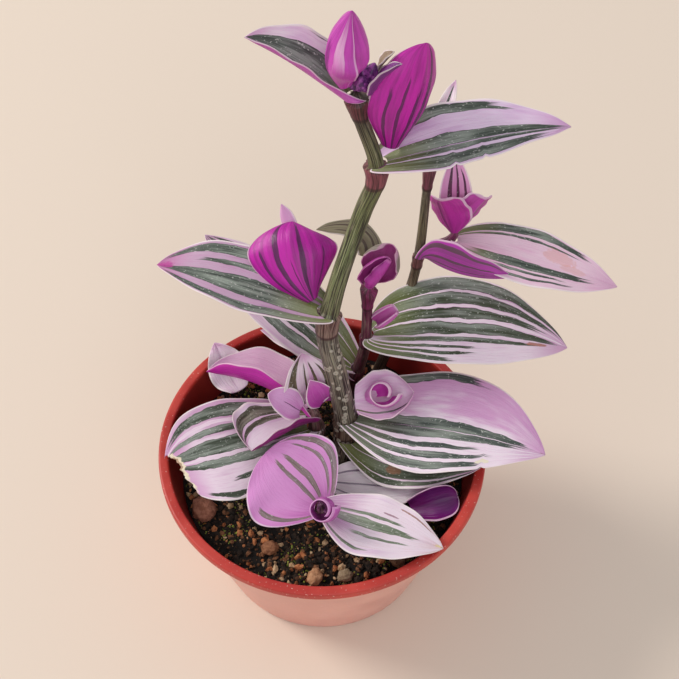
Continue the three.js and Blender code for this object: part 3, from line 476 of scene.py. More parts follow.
LEAVES = {
    # top of the main stem
    "leaf_top_left": dict(
        stem="stem_main", height=165.4, tip=[-18.3, 39.8, 184], width=15.5, lift=5, drop=12,
        bank=6, cup=120, crease=0.5, lean=0.4, wrap=260, clasp=1.6,
        green=[(0.34, 0.34, 1.05), (0.95, 0.05, 0.5)], pink="#cfa0cf", outer="#c45ab4",
        outer_dark="#8a2a80",
    ),
    "bud_top": dict(
        base=[6.4, 37.6, 169.5], tip=[8.3, 35.5, 196], width=36, face=[0.45, -0.8, 0.2], lift=-42,
        drop=-42, cup=370, cup_base=370, skew=0.35, belly=0.42, neck=0.25, slot="leaf_magenta",
        green=[(0.3, 0.08, 0.8), (-0.45, 0.08, 0.7)], frost=[(-0.72, 0.13, 1.0, 0.45)],
        pink="#a82c96", light="#c65ab4", tip_pink="#c06ab8", leafy="#6a2464", deep="#4c144a",
        foot="#7c2a70", outer="#c63eb2", outer_dark="#8c2480", edge="#e8c4dc",
    ),
    "leaf_top_inner": dict(
        base=[13.6, 35.8, 168.5], tip=[21, 36.4, 178.2], width=8, face=[-0.6, 0.4, 0.6], cup=90,
        crease=0.6, small=True, slot="leaf_magenta", pink="#8a3a90", light="#a85cae",
        tip_pink="#7a2c80", outer="#7c2a80", outer_dark="#43164a",
    ),
    "tip_top_small": dict(
        base=[15.4, 41.8, 171.2], tip=[19.2, 42.2, 177], width=6, face=[-0.6, 0.2, 0.7], cup=80,
        small=True, pink="#8a7060", light="#a08c74", tip_pink="#6c4a44", outer="#77704c",
        outer_dark="#5b3c3c",
    ),
    # upper node of the main stem
    "leaf_upper_right": dict(
        stem="stem_main", height=145.8, tip=[67.7, 42.5, 150], width=21, lift=8, drop=12, bank=8,
        belly=[0.32, 0.34], point=[2, 1.6], neck=0.6, lean=-0.2, wrap=240, clasp=1.2, lobe=11,
        green=[(-0.84, 0.16, 0.66), (-0.1, 0.19, 0.97), (0.2, 0.13, 0.95), (0.66, 0.3, 0.86)],
        pale=[(0.4, 0.08, 1.0)], pink="#c79ac8", light="#e0c8e0", tip_pink="#c486bc",
        nicks=[(1, 0.33, 1.1, 0.012), (1, 0.5, 0.8, 0.01)],
    ),
    "leaf_upper_erect": dict(
        base=[20, 36, 148.5], tip=[27.6, 46.6, 176], width=27, face=[-0.6, 0.8, 0], lift=-12,
        drop=-18, cup=110, cup_base=150, belly=0.44, point=2.6, neck=0.3, round=0.6,
        slot="leaf_magenta",
        green=[(-0.85, 0.05, 0.7), (-0.6, 0.05, 0.75), (-0.32, 0.09, 1.0), (0.0, 0.05, 0.6),
               (0.3, 0.05, 0.7), (0.62, 0.05, 0.6)],
        pink="#a8389a", outer="#c412a4", outer_dark="#54104e",
    ),
    # middle node of the main stem
    "leaf_left": dict(
        stem="stem_main", height=98, tip=[-48.5, 35, 100.5], width=22, drop=20, bank=-6, cup=35,
        belly=0.42, point=[1.6, 2.8], neck=0.6, wrap=240, clasp=1.1, lobe=-10,
        green=[(-0.82, 0.14, 0.93), (-0.2, 0.36, 0.98), (0.37, 0.1, 0.72), (0.76, 0.2, 0.96)],
        pale=[(-0.6, 0.06, 0.9)], pink="#a67aa0", light="#bc9ab4", tip_pink="#b84e98",
        marks=[(0.0, 0.97, 4.0, 3.6, "#b0308c", 0.9)],
    ),
    "leaf_hooded": dict(
        base=[-2.4, 21.8, 100.6], tip=[-8.4, 40.2, 113.8], width=29, face=[0, 0.59, -0.81],
        lift=-20, drop=-50, sway=-17, cup=90, cup_base=110, belly=[0.54, 0.66], point=[1.8, 2.2],
        neck=0.14, spread=1.1, round=0.5, lean=0.06, slot="leaf_magenta",
        green=[(-0.62, 0.02, 0.6), (-0.12, 0.07, 1.0), (0.1, 0.02, 0.5), (0.36, 0.08, 1.1),
               (0.7, 0.04, 0.7)],
        pink="#a8308f", outer="#bc0ea0", outer_dark="#480c46", edge="#f2dfe8",
    ),
    "leaf_hooded_inner": dict(
        base=[-8.2, 35.8, 109.4], tip=[-11.5, 44.2, 117], width=5, face=[0.2, 0.8, -0.3], cup=60,
        belly=0.5, small=True, slot="leaf_pink", outer="#d9a3cc", outer_dark="#b878ac",
    ),
    # middle stem
    "leaf_middle_right": dict(
        stem="stem_middle", height=78.5, tip=[74.8, 24, 74], width=30, lift=26, drop=22, bank=10,
        cup=-10, belly=0.42, neck=0.6, lean=-0.2, lobe=9,
        green=[(-0.85, 0.17, 1.0), (-0.55, 0.13, 0.92), (-0.28, 0.12, 0.84), (0.04, 0.18, 0.93),
               (0.34, 0.08, 0.84, 0.06), (0.55, 0.06, 0.52, 0.05), (0.71, 0.06, 0.5),
               (0.89, 0.09, 0.38)],
        pale=[(-0.68, 0.03, 0.9), (-0.41, 0.03, 1.0), (-0.15, 0.04, 0.9)], pink="#d0a2ca",
        light="#efdce8", deep="#3c4830", foot="#7c8838", blush=0.6,
        marks=[(0.3, 0.83, 1.2, 3.4, "#a8603c", 0.8)],
    ),
    "bud_middle_axil": dict(
        base=[16.6, 27.8, 82], tip=[22.5, 28.4, 88], width=12, face=[0, -0.6, 1], cup=280,
        cup_base=280, blunt=0.6, round=0.5, small=True, slot="leaf_magenta", pink="#c23aa6",
        light="#d878c0", tip_pink="#d48cc4", outer="#cf6bb8", outer_dark="#a03a8c", edge="#ecc4de",
    ),
    "leaf_middle_left": dict(
        base=[12.2, 29.4, 100.2], tip=[-1.4, 40.5, 110], width=11, face=[-0.2, -0.8, -0.6],
        lift=-75, drop=-65, arch=0.7, bank=-50, cup=60,
        green=[(-0.5, 0.1, 0.9), (0.0, 0.1, 1.0), (0.5, 0.1, 0.9)], pink="#c06aa8",
        outer="#8c8468", outer_dark="#4d3c34",
    ),
    "bud_middle_outer": dict(
        base=[14.6, 28.6, 102], tip=[20.5, 30.5, 115], width=19, face=[-0.2, -0.8, 0.5], lift=-20,
        drop=-40, cup=200, cup_base=200, belly=0.5, point=2.4, neck=0.3, blunt=0.35, round=0.5,
        pink="#a83486", light="#c060a4", tip_pink="#b04c96", outer="#8f8478", outer_dark="#544840",
        edge="#cf8cb8",
    ),
    "bud_middle_inner": dict(
        base=[14.6, 26.4, 102.5], tip=[19.8, 27.3, 112.5], width=15, face=[-0.5, -0.6, 1], cup=330,
        cup_base=330, skew=0.4, blunt=0.3, round=0.6, slot="leaf_magenta", pink="#8c1a70",
        light="#b03c94", tip_pink="#a02c84", outer="#b03098", outer_dark="#6c1458", edge="#d07cb8",
    ),
    # back stem
    "leaf_back_folded": dict(
        stem="stem_back", height=96.8, tip=[56.1, 30.1, 101], width=22.5, face=[0, -0.59, 0.81],
        sway=-20, bank=-80, cup=120, crease=0.4, belly=[0.4, 0.34], neck=0.7, lean=0.25,
        slot="leaf_magenta",
        green=[(0.25, 0.03, 0.8), (0.5, 0.05, 0.85), (0.82, 0.07, 0.9), (-0.5, 0.1, 0.8)],
        pink="#c48abc", outer="#b43cac", outer_dark="#5c4450",
    ),
    "leaf_back_right": dict(
        stem="stem_branch", height=104.5, tip=[87.3, 30.3, 96], width=19.5, lift=14, drop=10,
        bank=10, cup=15, neck=0.6, lean=0.08,
        green=[(-0.8, 0.17, 0.8), (-0.54, 0.05, 0.7), (0.38, 0.16, 0.82, 0.1),
               (0.6, 0.05, 0.66, 0.25), (0.78, 0.05, 0.72, 0.25)],
        pale=[(-0.66, 0.04, 0.7)], pink="#dca8c6", light="#e6c6d6", tip_pink="#d49cc0",
        marks=[(-0.25, 0.62, 2.6, 5.0, "#d8927c", 0.35), (0.05, 0.72, 1.6, 4.0, "#d8927c", 0.3)],
    ),
    "leaf_crown_back": dict(
        base=[39.6, 46.6, 107], tip=[38.6, 54.5, 127], width=10, face=[0, -1, 0.3], cup=50,
        small=True, slot="leaf_pink",
        green=[(-0.35, 0.16, 1.0), (0.15, 0.1, 0.9), (0.6, 0.1, 0.8)], pink="#cf70b4",
        light="#dc9cc8", leafy="#6c3a58", deep="#44203a", foot="#6a2a58", outer="#b04a9c",
        outer_dark="#6e2468",
    ),
    "leaf_crown_left": dict(
        base=[38.8, 42.2, 106.6], tip=[34.4, 43.6, 119.8], width=14, face=[0.3, 0.8, 0.2], cup=80,
        point=2.6, neck=0.2, blunt=0.3, round=0.5, slot="leaf_magenta", green=[(0.3, 0.08, 0.9)],
        outer="#c030a0", outer_dark="#7c2468", edge="#f2e0ea", rim=0.7,
    ),
    "leaf_crown_right": dict(
        base=[42.2, 45, 107.5], tip=[48, 47, 116.8], width=13, face=[-0.3, 0.8, 0.2], cup=80,
        point=2.6, neck=0.2, blunt=0.3, round=0.5, slot="leaf_magenta", green=[(-0.2, 0.1, 0.9)],
        outer="#c444ac", outer_dark="#8c3474", edge="#f2e0ea", rim=0.7,
    ),
    "leaf_back_top": dict(
        base=[31.8, 47.8, 141.4], tip=[37.5, 60, 150.5], width=5, face=[0, -0.5, 1], cup=60,
        small=True, slot="leaf_pink", green=[(0.0, 0.2, 0.9)], pink="#d8ccc4",
    ),
    # foot of the main stem, right
    "leaf_lower_right": dict(
        stem="stem_main", height=59.5, tip=[66.7, -7.5, 63], width=33.5, drop=18, bank=14, cup=-5,
        belly=[0.5, 0.36], point=[2.2, 1.5], neck=0.6, lean=-0.08,
        green=[(-0.93, 0.13, 0.62), (-0.04, 0.11, 0.93), (0.15, 0.13, 0.88), (0.42, 0.07, 0.62),
               (0.62, 0.08, 0.7), (0.84, 0.1, 0.72)],
        pale=[(0.3, 0.04, 0.8), (0.52, 0.05, 1.0), (0.73, 0.04, 1.0)], pink="#d08fc4",
        light="#f0deea", tip_pink="#cc88c0", deep="#3f4a44", foot="#6f7458", blush=0.9,
        marks=[(0.8, 0.7, 0.9, 2.0, "#eadfc8", 1.0), (0.0, 0.99, 0.9, 0.9, "#8a4c2c", 1.0)],
        nicks=[(1, 0.7, 0.7, 0.012)],
    ),
    "leaf_lower_right_under": dict(
        stem="stem_main", height=52.3, tip=[48.2, -8, 57], width=22.5, lift=5, drop=5, bank=18,
        cup=20, belly=0.32, neck=0.7, lean=0.15,
        green=[(-0.5, 0.5, 1.25), (0.2, 0.2, 1.25), (0.6, 0.19, 1.25), (0.87, 0.08, 1.0)],
        pale=[(0.4, 0.02, 0.8)], leafy="#7d8574", deep="#424c38",
        marks=[(0.55, 0.34, 1.3, 2.6, "#a8623c", 0.5)],
    ),
    "leaf_lower_pale": dict(
        base=[3, -7, 47], tip=[34, -11, 50], width=16, lift=3, drop=3, bank=15, cup=10,
        slot="leaf_pink", green=[(-0.5, 0.06, 0.6), (0.1, 0.05, 0.7), (0.6, 0.05, 0.6)],
        pink="#f6e0ee", light="#fbf0f4", leafy="#b8a8b4", deep="#9c8a9c", foot="#9c8a9c",
    ),
    "leaf_lower_curl": dict(
        base=[27, -16.5, 47], tip=[41, -14.5, 51], width=15, face=[0, -0.6, 0.8], cup=170,
        cup_base=170, belly=0.6, point=2.6, round=0.5, slot="leaf_magenta", pink="#78106c",
        light="#5c1460", tip_pink="#7c2078", outer="#d8a4cc", outer_dark="#b878ac", edge="#f0cce2",
        rim=0.9,
    ),
    "rosette_outer": dict(
        base=[10, 8.4, 67.2], tip=[27.8, 9.4, 71.2], width=21, face=[0, -0.3, 1], lift=-25,
        drop=-30, cup=150, cup_base=150, point=3, neck=0.6, round=0.6, slot="leaf_pink",
        green=[(0.45, 0.06, 0.9)], pink="#dcacd4", light="#eed8e8", outer="#d890c4",
        outer_dark="#b068a4",
    ),
    "rosette_inner": dict(
        base=[13.2, 9.8, 68.2], tip=[14.6, 6.6, 73.6], width=26, face=[0.9, 0.3, -0.1], cup=380,
        cup_base=380, skew=0.45, belly=0.6, blunt=0.85, round=0.5, slot="leaf_magenta",
        pink="#cc2cb0", light="#dc60c8", tip_pink="#d458c0", outer="#d878c4", outer_dark="#b850a4",
        rim=0.5,
    ),
    # left shoot
    "leaf_left_low": dict(
        stem="stem_left", height=54, tip=[-47.4, -8, 57.9], width=33.5, lift=12, drop=12, bank=-8,
        cup=-5, belly=[0.55, 0.58], point=3, lean=-0.08, tear=0.16,
        green=[(-0.9, 0.06, 0.9), (-0.64, 0.05, 0.62, 0.2), (-0.3, 0.1, 1.25), (0.02, 0.2, 1.25),
               (0.36, 0.09, 1.25), (0.74, 0.17, 0.97)],
        pale=[(-0.17, 0.03, 0.8), (0.52, 0.05, 0.8)], pink="#c08cb4", light="#e8d2e0",
        deep="#3c4636", blush=-0.5,
        marks=[(-0.2, 1.0, 11.0, 1.5, "#ecdcc0", 1.0), (-0.1, 1.0, 6.0, 0.6, "#8c5a34", 0.7)],
    ),
    "leaf_left_round": dict(
        stem="stem_left", height=59, tip=[-20.9, -7, 64.5], width=25, lift=10, drop=10, bank=35,
        cup=110, crease=0.7, belly=[0.5, 0.64], point=[2, 2.4], neck=0.6, round=0.5, lean=0.3,
        green=[(0.76, 0.16, 1.25), (0.52, 0.07, 1.0)], pale=[(0.1, 0.35, 1.0)], pink="#ceb0cc",
        light="#dfd0dc", leafy="#8c8c7c", deep="#454a36", outer="#96207a", outer_dark="#641452",
    ),
    "leaf_left_spoon": dict(
        base=[-6.8, 6.6, 65.5], tip=[-16, 6.6, 74.5], width=10, face=[0.1, -0.4, 1], cup=60,
        round=0.6, small=True, slot="leaf_pink", green=[(0.0, 0.04, 0.5)], pink="#cf78c0",
        light="#dca4d4", leafy="#7c3470", deep="#5c2058", foot="#7c3470",
    ),
    "leaf_left_erect": dict(
        base=[-3.6, 11.2, 64], tip=[-6, 16.4, 82], width=17, face=[0.3, -1, 0.2], cup=70,
        green=[(-0.62, 0.24, 1.0), (-0.05, 0.06, 0.8), (0.3, 0.07, 0.85), (0.7, 0.1, 0.8)],
        pink="#d88cc8", leafy="#8c8464", deep="#54483a", foot="#6c4a4c", outer="#8f4a80",
        outer_dark="#5c5a38",
    ),
    "leaf_left_inner": dict(
        base=[0.6, 11.4, 63.5], tip=[-3.5, 10.0, 77.0], width=10, face=[0.3, -0.9, 0.3], cup=70,
        small=True, slot="leaf_magenta", pink="#bd2ca4", light="#d060bc", outer="#b8309c",
    ),
    "leaf_left_folded": dict(
        stem="stem_left", height=61, tip=[-36, 22.5, 63.5], width=25, lift=12, drop=12, sway=-12,
        bank=40, cup=120, crease=0.5, belly=0.5, lean=0.1, slot="leaf_pink", pink="#d89ccc",
        light="#e6bcd8", outer="#cc2cae", outer_dark="#a81c8c",
    ),
    "leaf_left_cup": dict(
        base=[-26, 20.5, 56], tip=[-34, 32.5, 65], width=13, face=[0.3, -0.8, 0.4], lift=-30,
        cup=20, slot="leaf_pink", pink="#d8bcd8", outer="#c030a4",
    ),
    "leaf_behind": dict(
        stem="stem_middle", height=61, tip=[-37.1, 60.7, 84], width=24.5, lift=10, drop=10,
        lean=-0.14,
        green=[(-0.62, 0.16, 1.0), (-0.28, 0.14, 1.0), (0.2, 0.3, 1.0), (0.7, 0.2, 1.0)],
        pale=[(-0.45, 0.03, 0.6)], deep="#3f4a38",
    ),
    "leaf_behind_low": dict(
        stem="stem_middle", height=57.4, tip=[-19.8, 39.7, 62], width=10, cup=40, slot="leaf_pink",
        pink="#b88aac",
    ),
    # front shoot
    "leaf_front_round": dict(
        stem="stem_front", height=54, tip=[-16.6, -7.4, 64.5], width=34, face=[0.1, -0.5, 1],
        lift=-10, drop=12, cup=10, cup_base=30, belly=0.36, neck=0.84, round=0.5, lean=-0.03,
        slot="leaf_pink",
        green=[(-0.8, 0.07, 0.5, 0.05), (0.0, 0.06, 0.82), (0.24, 0.08, 0.8, 0.1),
               (0.64, 0.05, 0.8, 0.12), (0.86, 0.1, 0.95, 0.1)],
        pink="#d880c8", light="#e298d6", tip_pink="#d684c6", leafy="#a08890", deep="#86706c",
        foot="#8c6870", heart="#b85cac", edge="#f0d8e8",
    ),
    "leaf_front_right": dict(
        stem="stem_front", height=56.5, tip=[35.3, -36.1, 58], width=21.5, lift=8, drop=8, cup=15,
        belly=[0.4, 0.3], neck=0.65, lean=0.14, slot="leaf_pink",
        green=[(-0.2, 0.07, 0.62), (0.08, 0.17, 0.76, 0.06), (0.42, 0.05, 0.7, 0.25),
               (0.82, 0.06, 0.4)],
        pale=[(-0.55, 0.3, 0.9), (0.62, 0.16, 0.8)], pink="#ccaacb", light="#e4d2de",
        tip_pink="#d8b8bc", leafy="#a0a898", deep="#6a7660", foot="#80687c", heart="#a8589c",
        marks=[(0.0, 0.99, 2.6, 2.2, "#dcc69c", 1.0), (-0.78, 0.72, 0.4, 6.0, "#8c5844", 0.8),
               (-0.42, 0.5, 0.35, 2.6, "#8c6070", 0.8), (0.0, 1.0, 1.4, 0.7, "#7c4a2c", 0.9)],
    ),
    "bud_front": dict(
        base=[-2.4, -24, 60.5], tip=[-3.2, -28.4, 67], width=25, face=[1, 0, 0], cup=420,
        cup_base=420, skew=0.25, belly=0.7, neck=0.6, blunt=0.9, slot="leaf_magenta",
        pink="#7c1c70", light="#a03c94", tip_pink="#b45aac", outer="#bd5cb0", outer_dark="#9c3c90",
        edge="#e6b4dc", rim=0.6,
    ),
}


def outline(leaf, t, side):
    """Half-width along a blade, as a share of its greatest half-width."""
    belly = np.ravel(leaf.belly)[side]
    point = np.ravel(leaf.point)[side]
    rise = np.sin(0.5 * math.pi * np.clip(t / belly, 0, 1)) ** leaf.spread
    fall = (1 - np.clip((t - belly) / (1 - belly), 0, 1) ** point) ** leaf.round
    before = leaf.neck + (1 - leaf.neck) * rise
    after = leaf.blunt + (1 - leaf.blunt) * fall
    return np.where(t < belly, before, after)


def section(leaf, u, half_widths, cups):
    """Across and up for each place u of the cross-section, for each row of the blade."""
    steps = SECTION_STEPS
    places = (np.arange(steps) + 0.5) / steps
    bends = [
        np.maximum(places, 0.02) ** (leaf.crease - 1) * (1 + leaf.skew * sign * places)
        for sign in (-1, 1)
    ]
    total = np.sum(bends)
    across = np.zeros((len(cups), len(u)))
    up = np.zeros_like(across)
    for direction, half, gained in zip((-1, 1), half_widths, bends):
        angle = np.radians(cups)[:, None] / total * (np.cumsum(gained) - 0.5 * gained)
        stride = half[:, None] / steps
        start = np.zeros((len(cups), 1))
        line_across = np.hstack([start, np.cumsum(np.cos(angle) * stride, 1)]) * direction
        line_up = np.hstack([start, np.cumsum(np.sin(angle) * stride, 1)])
        there = np.flatnonzero(u * direction >= 0)
        place = np.abs(u[there]) * steps
        k = np.minimum(place.astype(int), steps - 1)
        rest = place - k
        across[:, there] = line_across[:, k] * (1 - rest) + line_across[:, k + 1] * rest
        up[:, there] = line_up[:, k] * (1 - rest) + line_up[:, k + 1] * rest
    return across, up


def blade_surface(leaf, rows, columns):
    """Middle surface of a blade, with the places t along and u across of its rows and columns."""
    s = np.linspace(0, 1, rows + 1)
    t = s - ROW_CROWDING * np.sin(2 * math.pi * s)
    crowding = COLUMN_CROWDING * math.pi
    u = np.sin(np.linspace(-1, 1, columns + 1) * crowding) / math.sin(crowding)
    tip = np.array(leaf.tip, float)
    if leaf.stem:
        centre, axis, radius = (v[0] for v in stem_at(STEMS[leaf.stem], [leaf.height]))
        outwards = square_to(tip - centre, axis)
        sideways = np.cross(outwards, axis)
        around = u * math.radians(leaf.wrap) / 2
        reach = radius * leaf.clasp + GAP + SOLID_THICKNESS / 2
        ring = centre + reach * (
            outwards * np.cos(around)[:, None] + sideways * np.sin(around)[:, None]
        )
        base = centre + reach * outwards
    else:
        base = np.array(leaf.base, float)
    length = np.linalg.norm(tip - base)
    along = (tip - base) / length
    face = np.array(leaf.face, float)
    normal = square_to(face, along)
    hinge = np.cross(along, normal)
    start = turn(turn(along, hinge, leaf.lift), normal, leaf.sway)
    end = turn(turn(along, hinge, -leaf.drop), normal, -leaf.sway)
    handle = leaf.arch * length
    p0, p1, p2, p3 = base, base + start * handle, tip - end * handle, tip
    r = 1 - t[:, None]
    q = t[:, None]
    midrib = r**3 * p0 + 3 * r * r * q * p1 + 3 * r * q * q * p2 + q**3 * p3
    direction = unit(r * r * (p1 - p0) + 2 * r * q * (p2 - p1) + q * q * (p3 - p2))
    upward = turn(square_to(face, direction), direction, leaf.bank)
    sideward = np.cross(direction, upward)
    foot_share = np.exp(-((t / BASE_SHARE) ** 2))
    cups = leaf.cup + (leaf.cup_base - leaf.cup) * foot_share
    halves = []
    for side, sign in ((0, -1), (-1, 1)):
        half = 0.5 * leaf.width * (1 + leaf.lean * sign) * outline(leaf, t, side)
        for nick_side, where, depth, spread in leaf.nicks:
            if nick_side == sign:
                half = half - depth * np.exp(-(((t - where) / spread) ** 2))
        halves.append(np.maximum(half, TIP_HALF_WIDTH))
    across, up = section(leaf, u, halves, cups)
    # Waves and ribs fade out at the foot and at the tip
    free_share = (smooth(0.02, 0.25, t) * (1 - smooth(0.9, 1.0, t)))[:, None]
    margin = np.abs(u) ** MARGIN_POWER
    phase = leaf.width * 1.7 + length + 1.9 * np.sign(u)
    ripple = leaf.wave * margin * np.sin(2 * math.pi * leaf.waves * q + phase)
    ribs = leaf.rib * (1 - margin) * np.cos(2 * math.pi * u * RIBS)
    valley = leaf.groove * np.exp(-((u * leaf.width / 2 / GROOVE_WIDTH) ** 2))
    up += free_share * (ripple + ribs - valley)
    swept = abs(leaf.lobe) * np.maximum(np.sign(leaf.lobe) * u, 0) ** 2
    free = midrib[:, None] - direction[:, None] * (foot_share[:, None] * swept)[..., None]
    free += sideward[:, None] * across[..., None] + upward[:, None] * up[..., None]
    if leaf.stem:
        held = np.exp(-((t * length / CLASP_REACH) ** 2))[:, None, None]
        free = free * (1 - held) + ring[None] * held
    if leaf.tear:
        free = torn(free, t, u, leaf.tear)
    return free, t, u, length


def torn(grid, t, u, depth):
    """Pulls the end of a blade back unevenly, and most at its near margin."""
    jag = 0.82 + 0.09 * np.sin(7 * u + 2) + 0.05 * np.sin(23 * u) + 0.04 * np.sin(41 * u)
    lost = depth * jag * (0.55 - 0.45 * u)
    short = grid.copy()
    for column, share in enumerate(lost):
        kept = t * (1 - share * smooth(0.6, 1, t))
        for axis in range(3):
            short[:, column, axis] = np.interp(kept, t, grid[:, column, axis])
    return short


def make_leaf(name, entry):
    leaf = SimpleNamespace(**{**LEAF, **(SMALL if entry.get("small") else {}), **entry})
    rows, columns = leaf.grid
    grid, t, u, length = blade_surface(leaf, rows, columns)
    along = np.gradient(grid, axis=0)
    across = np.gradient(grid, axis=1)
    normals = unit(np.cross(across, along))
    thin = (1 - EDGE_THINNING * np.abs(u) ** 6) * (1 - TIP_THINNING * smooth(0.7, 1, t))[:, None]
    half = (BLADE_THICKNESS / 2 * thin)[..., None]
    upper, lower = grid + normals * half, grid - normals * half
    wide = columns + 1
    count = grid.shape[0] * wide
    at = np.arange(count).reshape(-1, wide)
    quads = np.stack([at[:-1, :-1], at[:-1, 1:], at[1:, 1:], at[1:, :-1]], -1).reshape(-1, 4)
    rim = np.concatenate([at[0, :-1], at[:-1, -1], at[-1, :0:-1], at[:0:-1, 0]])
    inward = np.clip(np.stack([rim // wide, rim % wide], -1), 1, [rows - 1, columns - 1])
    inside = grid[inward[:, 0], inward[:, 1]]
    edge = grid.reshape(-1, 3)[rim]
    away = edge - inside
    away /= np.maximum(np.linalg.norm(away, axis=1, keepdims=True), 1e-6)
    middle = edge + away * RIM_BEAD
    points = np.vstack([upper.reshape(-1, 3), lower.reshape(-1, 3), middle])
    ring = 2 * count + np.arange(len(rim))
    after = np.roll(rim, -1)
    ring_after = np.roll(ring, -1)
    faces = quads.tolist()
    faces += (quads[:, ::-1] + count).tolist()
    faces += np.stack([rim, ring, ring_after, after], -1).tolist()
    faces += np.stack([ring, rim + count, after + count, ring_after], -1).tolist()
    uv_grid = np.stack(np.broadcast_arrays((u + 1) / 2, t[:, None]), -1).reshape(-1, 2)
    uv = np.vstack([uv_grid, uv_grid, uv_grid[rim]])
    side = np.concatenate([np.zeros(count), np.ones(count), np.full(len(rim), 0.5)])
    made = mesh_object("fine_" + name, points, faces, uv, side)
    dress(made, leaf_look(name, leaf, length), leaf.slot, name)


def stripe_ramp(look, across, stripes):
    """How far along the blade the stripe at each place across reaches, or 0 between stripes."""
    stops, limit = [], 0.0
    for place, half, end, *_ in sorted(stripes):
        middle = (place + 1) / 2
        low = max(middle - half / 2, limit)
        limit = min(middle + half / 2, 1.0)
        core = 0.62 * half / 2
        stops += [(low, 0.0), (max(middle - core, low), end * STRIPE_SCALE)]
        stops += [(min(middle + core, limit), end * STRIPE_SCALE), (limit, 0.0)]
    return look.math("DIVIDE", look.ramp(across, stops), STRIPE_SCALE)


def start_ramp(look, across, stripes):
    """Where along the blade the stripe at each place across starts."""
    stops = [(0.0, 0.0)]
    for place, half, _, *start in sorted(stripes):
        low = max((place - half + 1) / 2 - 0.002, stops[-1][0])
        stops.append((low, start[0] if start else 0.0))
    return look.ramp(across, stops, "CONSTANT")


def mark_cover(look, u, v, leaf, length, mark, rough):
    """How strongly a spot of wear covers each point."""
    place, along, half_width, half_length, _, strength = mark
    over = look.times(look.minus(u, (place + 1) / 2), leaf.width / half_width)
    past = look.times(look.minus(v, along), length / half_length)
    reach = look.plus(look.times(over, over), look.times(past, past))
    ragged = look.plus(reach, look.times(look.minus(rough, 0.5), 2.4))
    return look.between(0.7, 1.3, ragged, strength, 0)


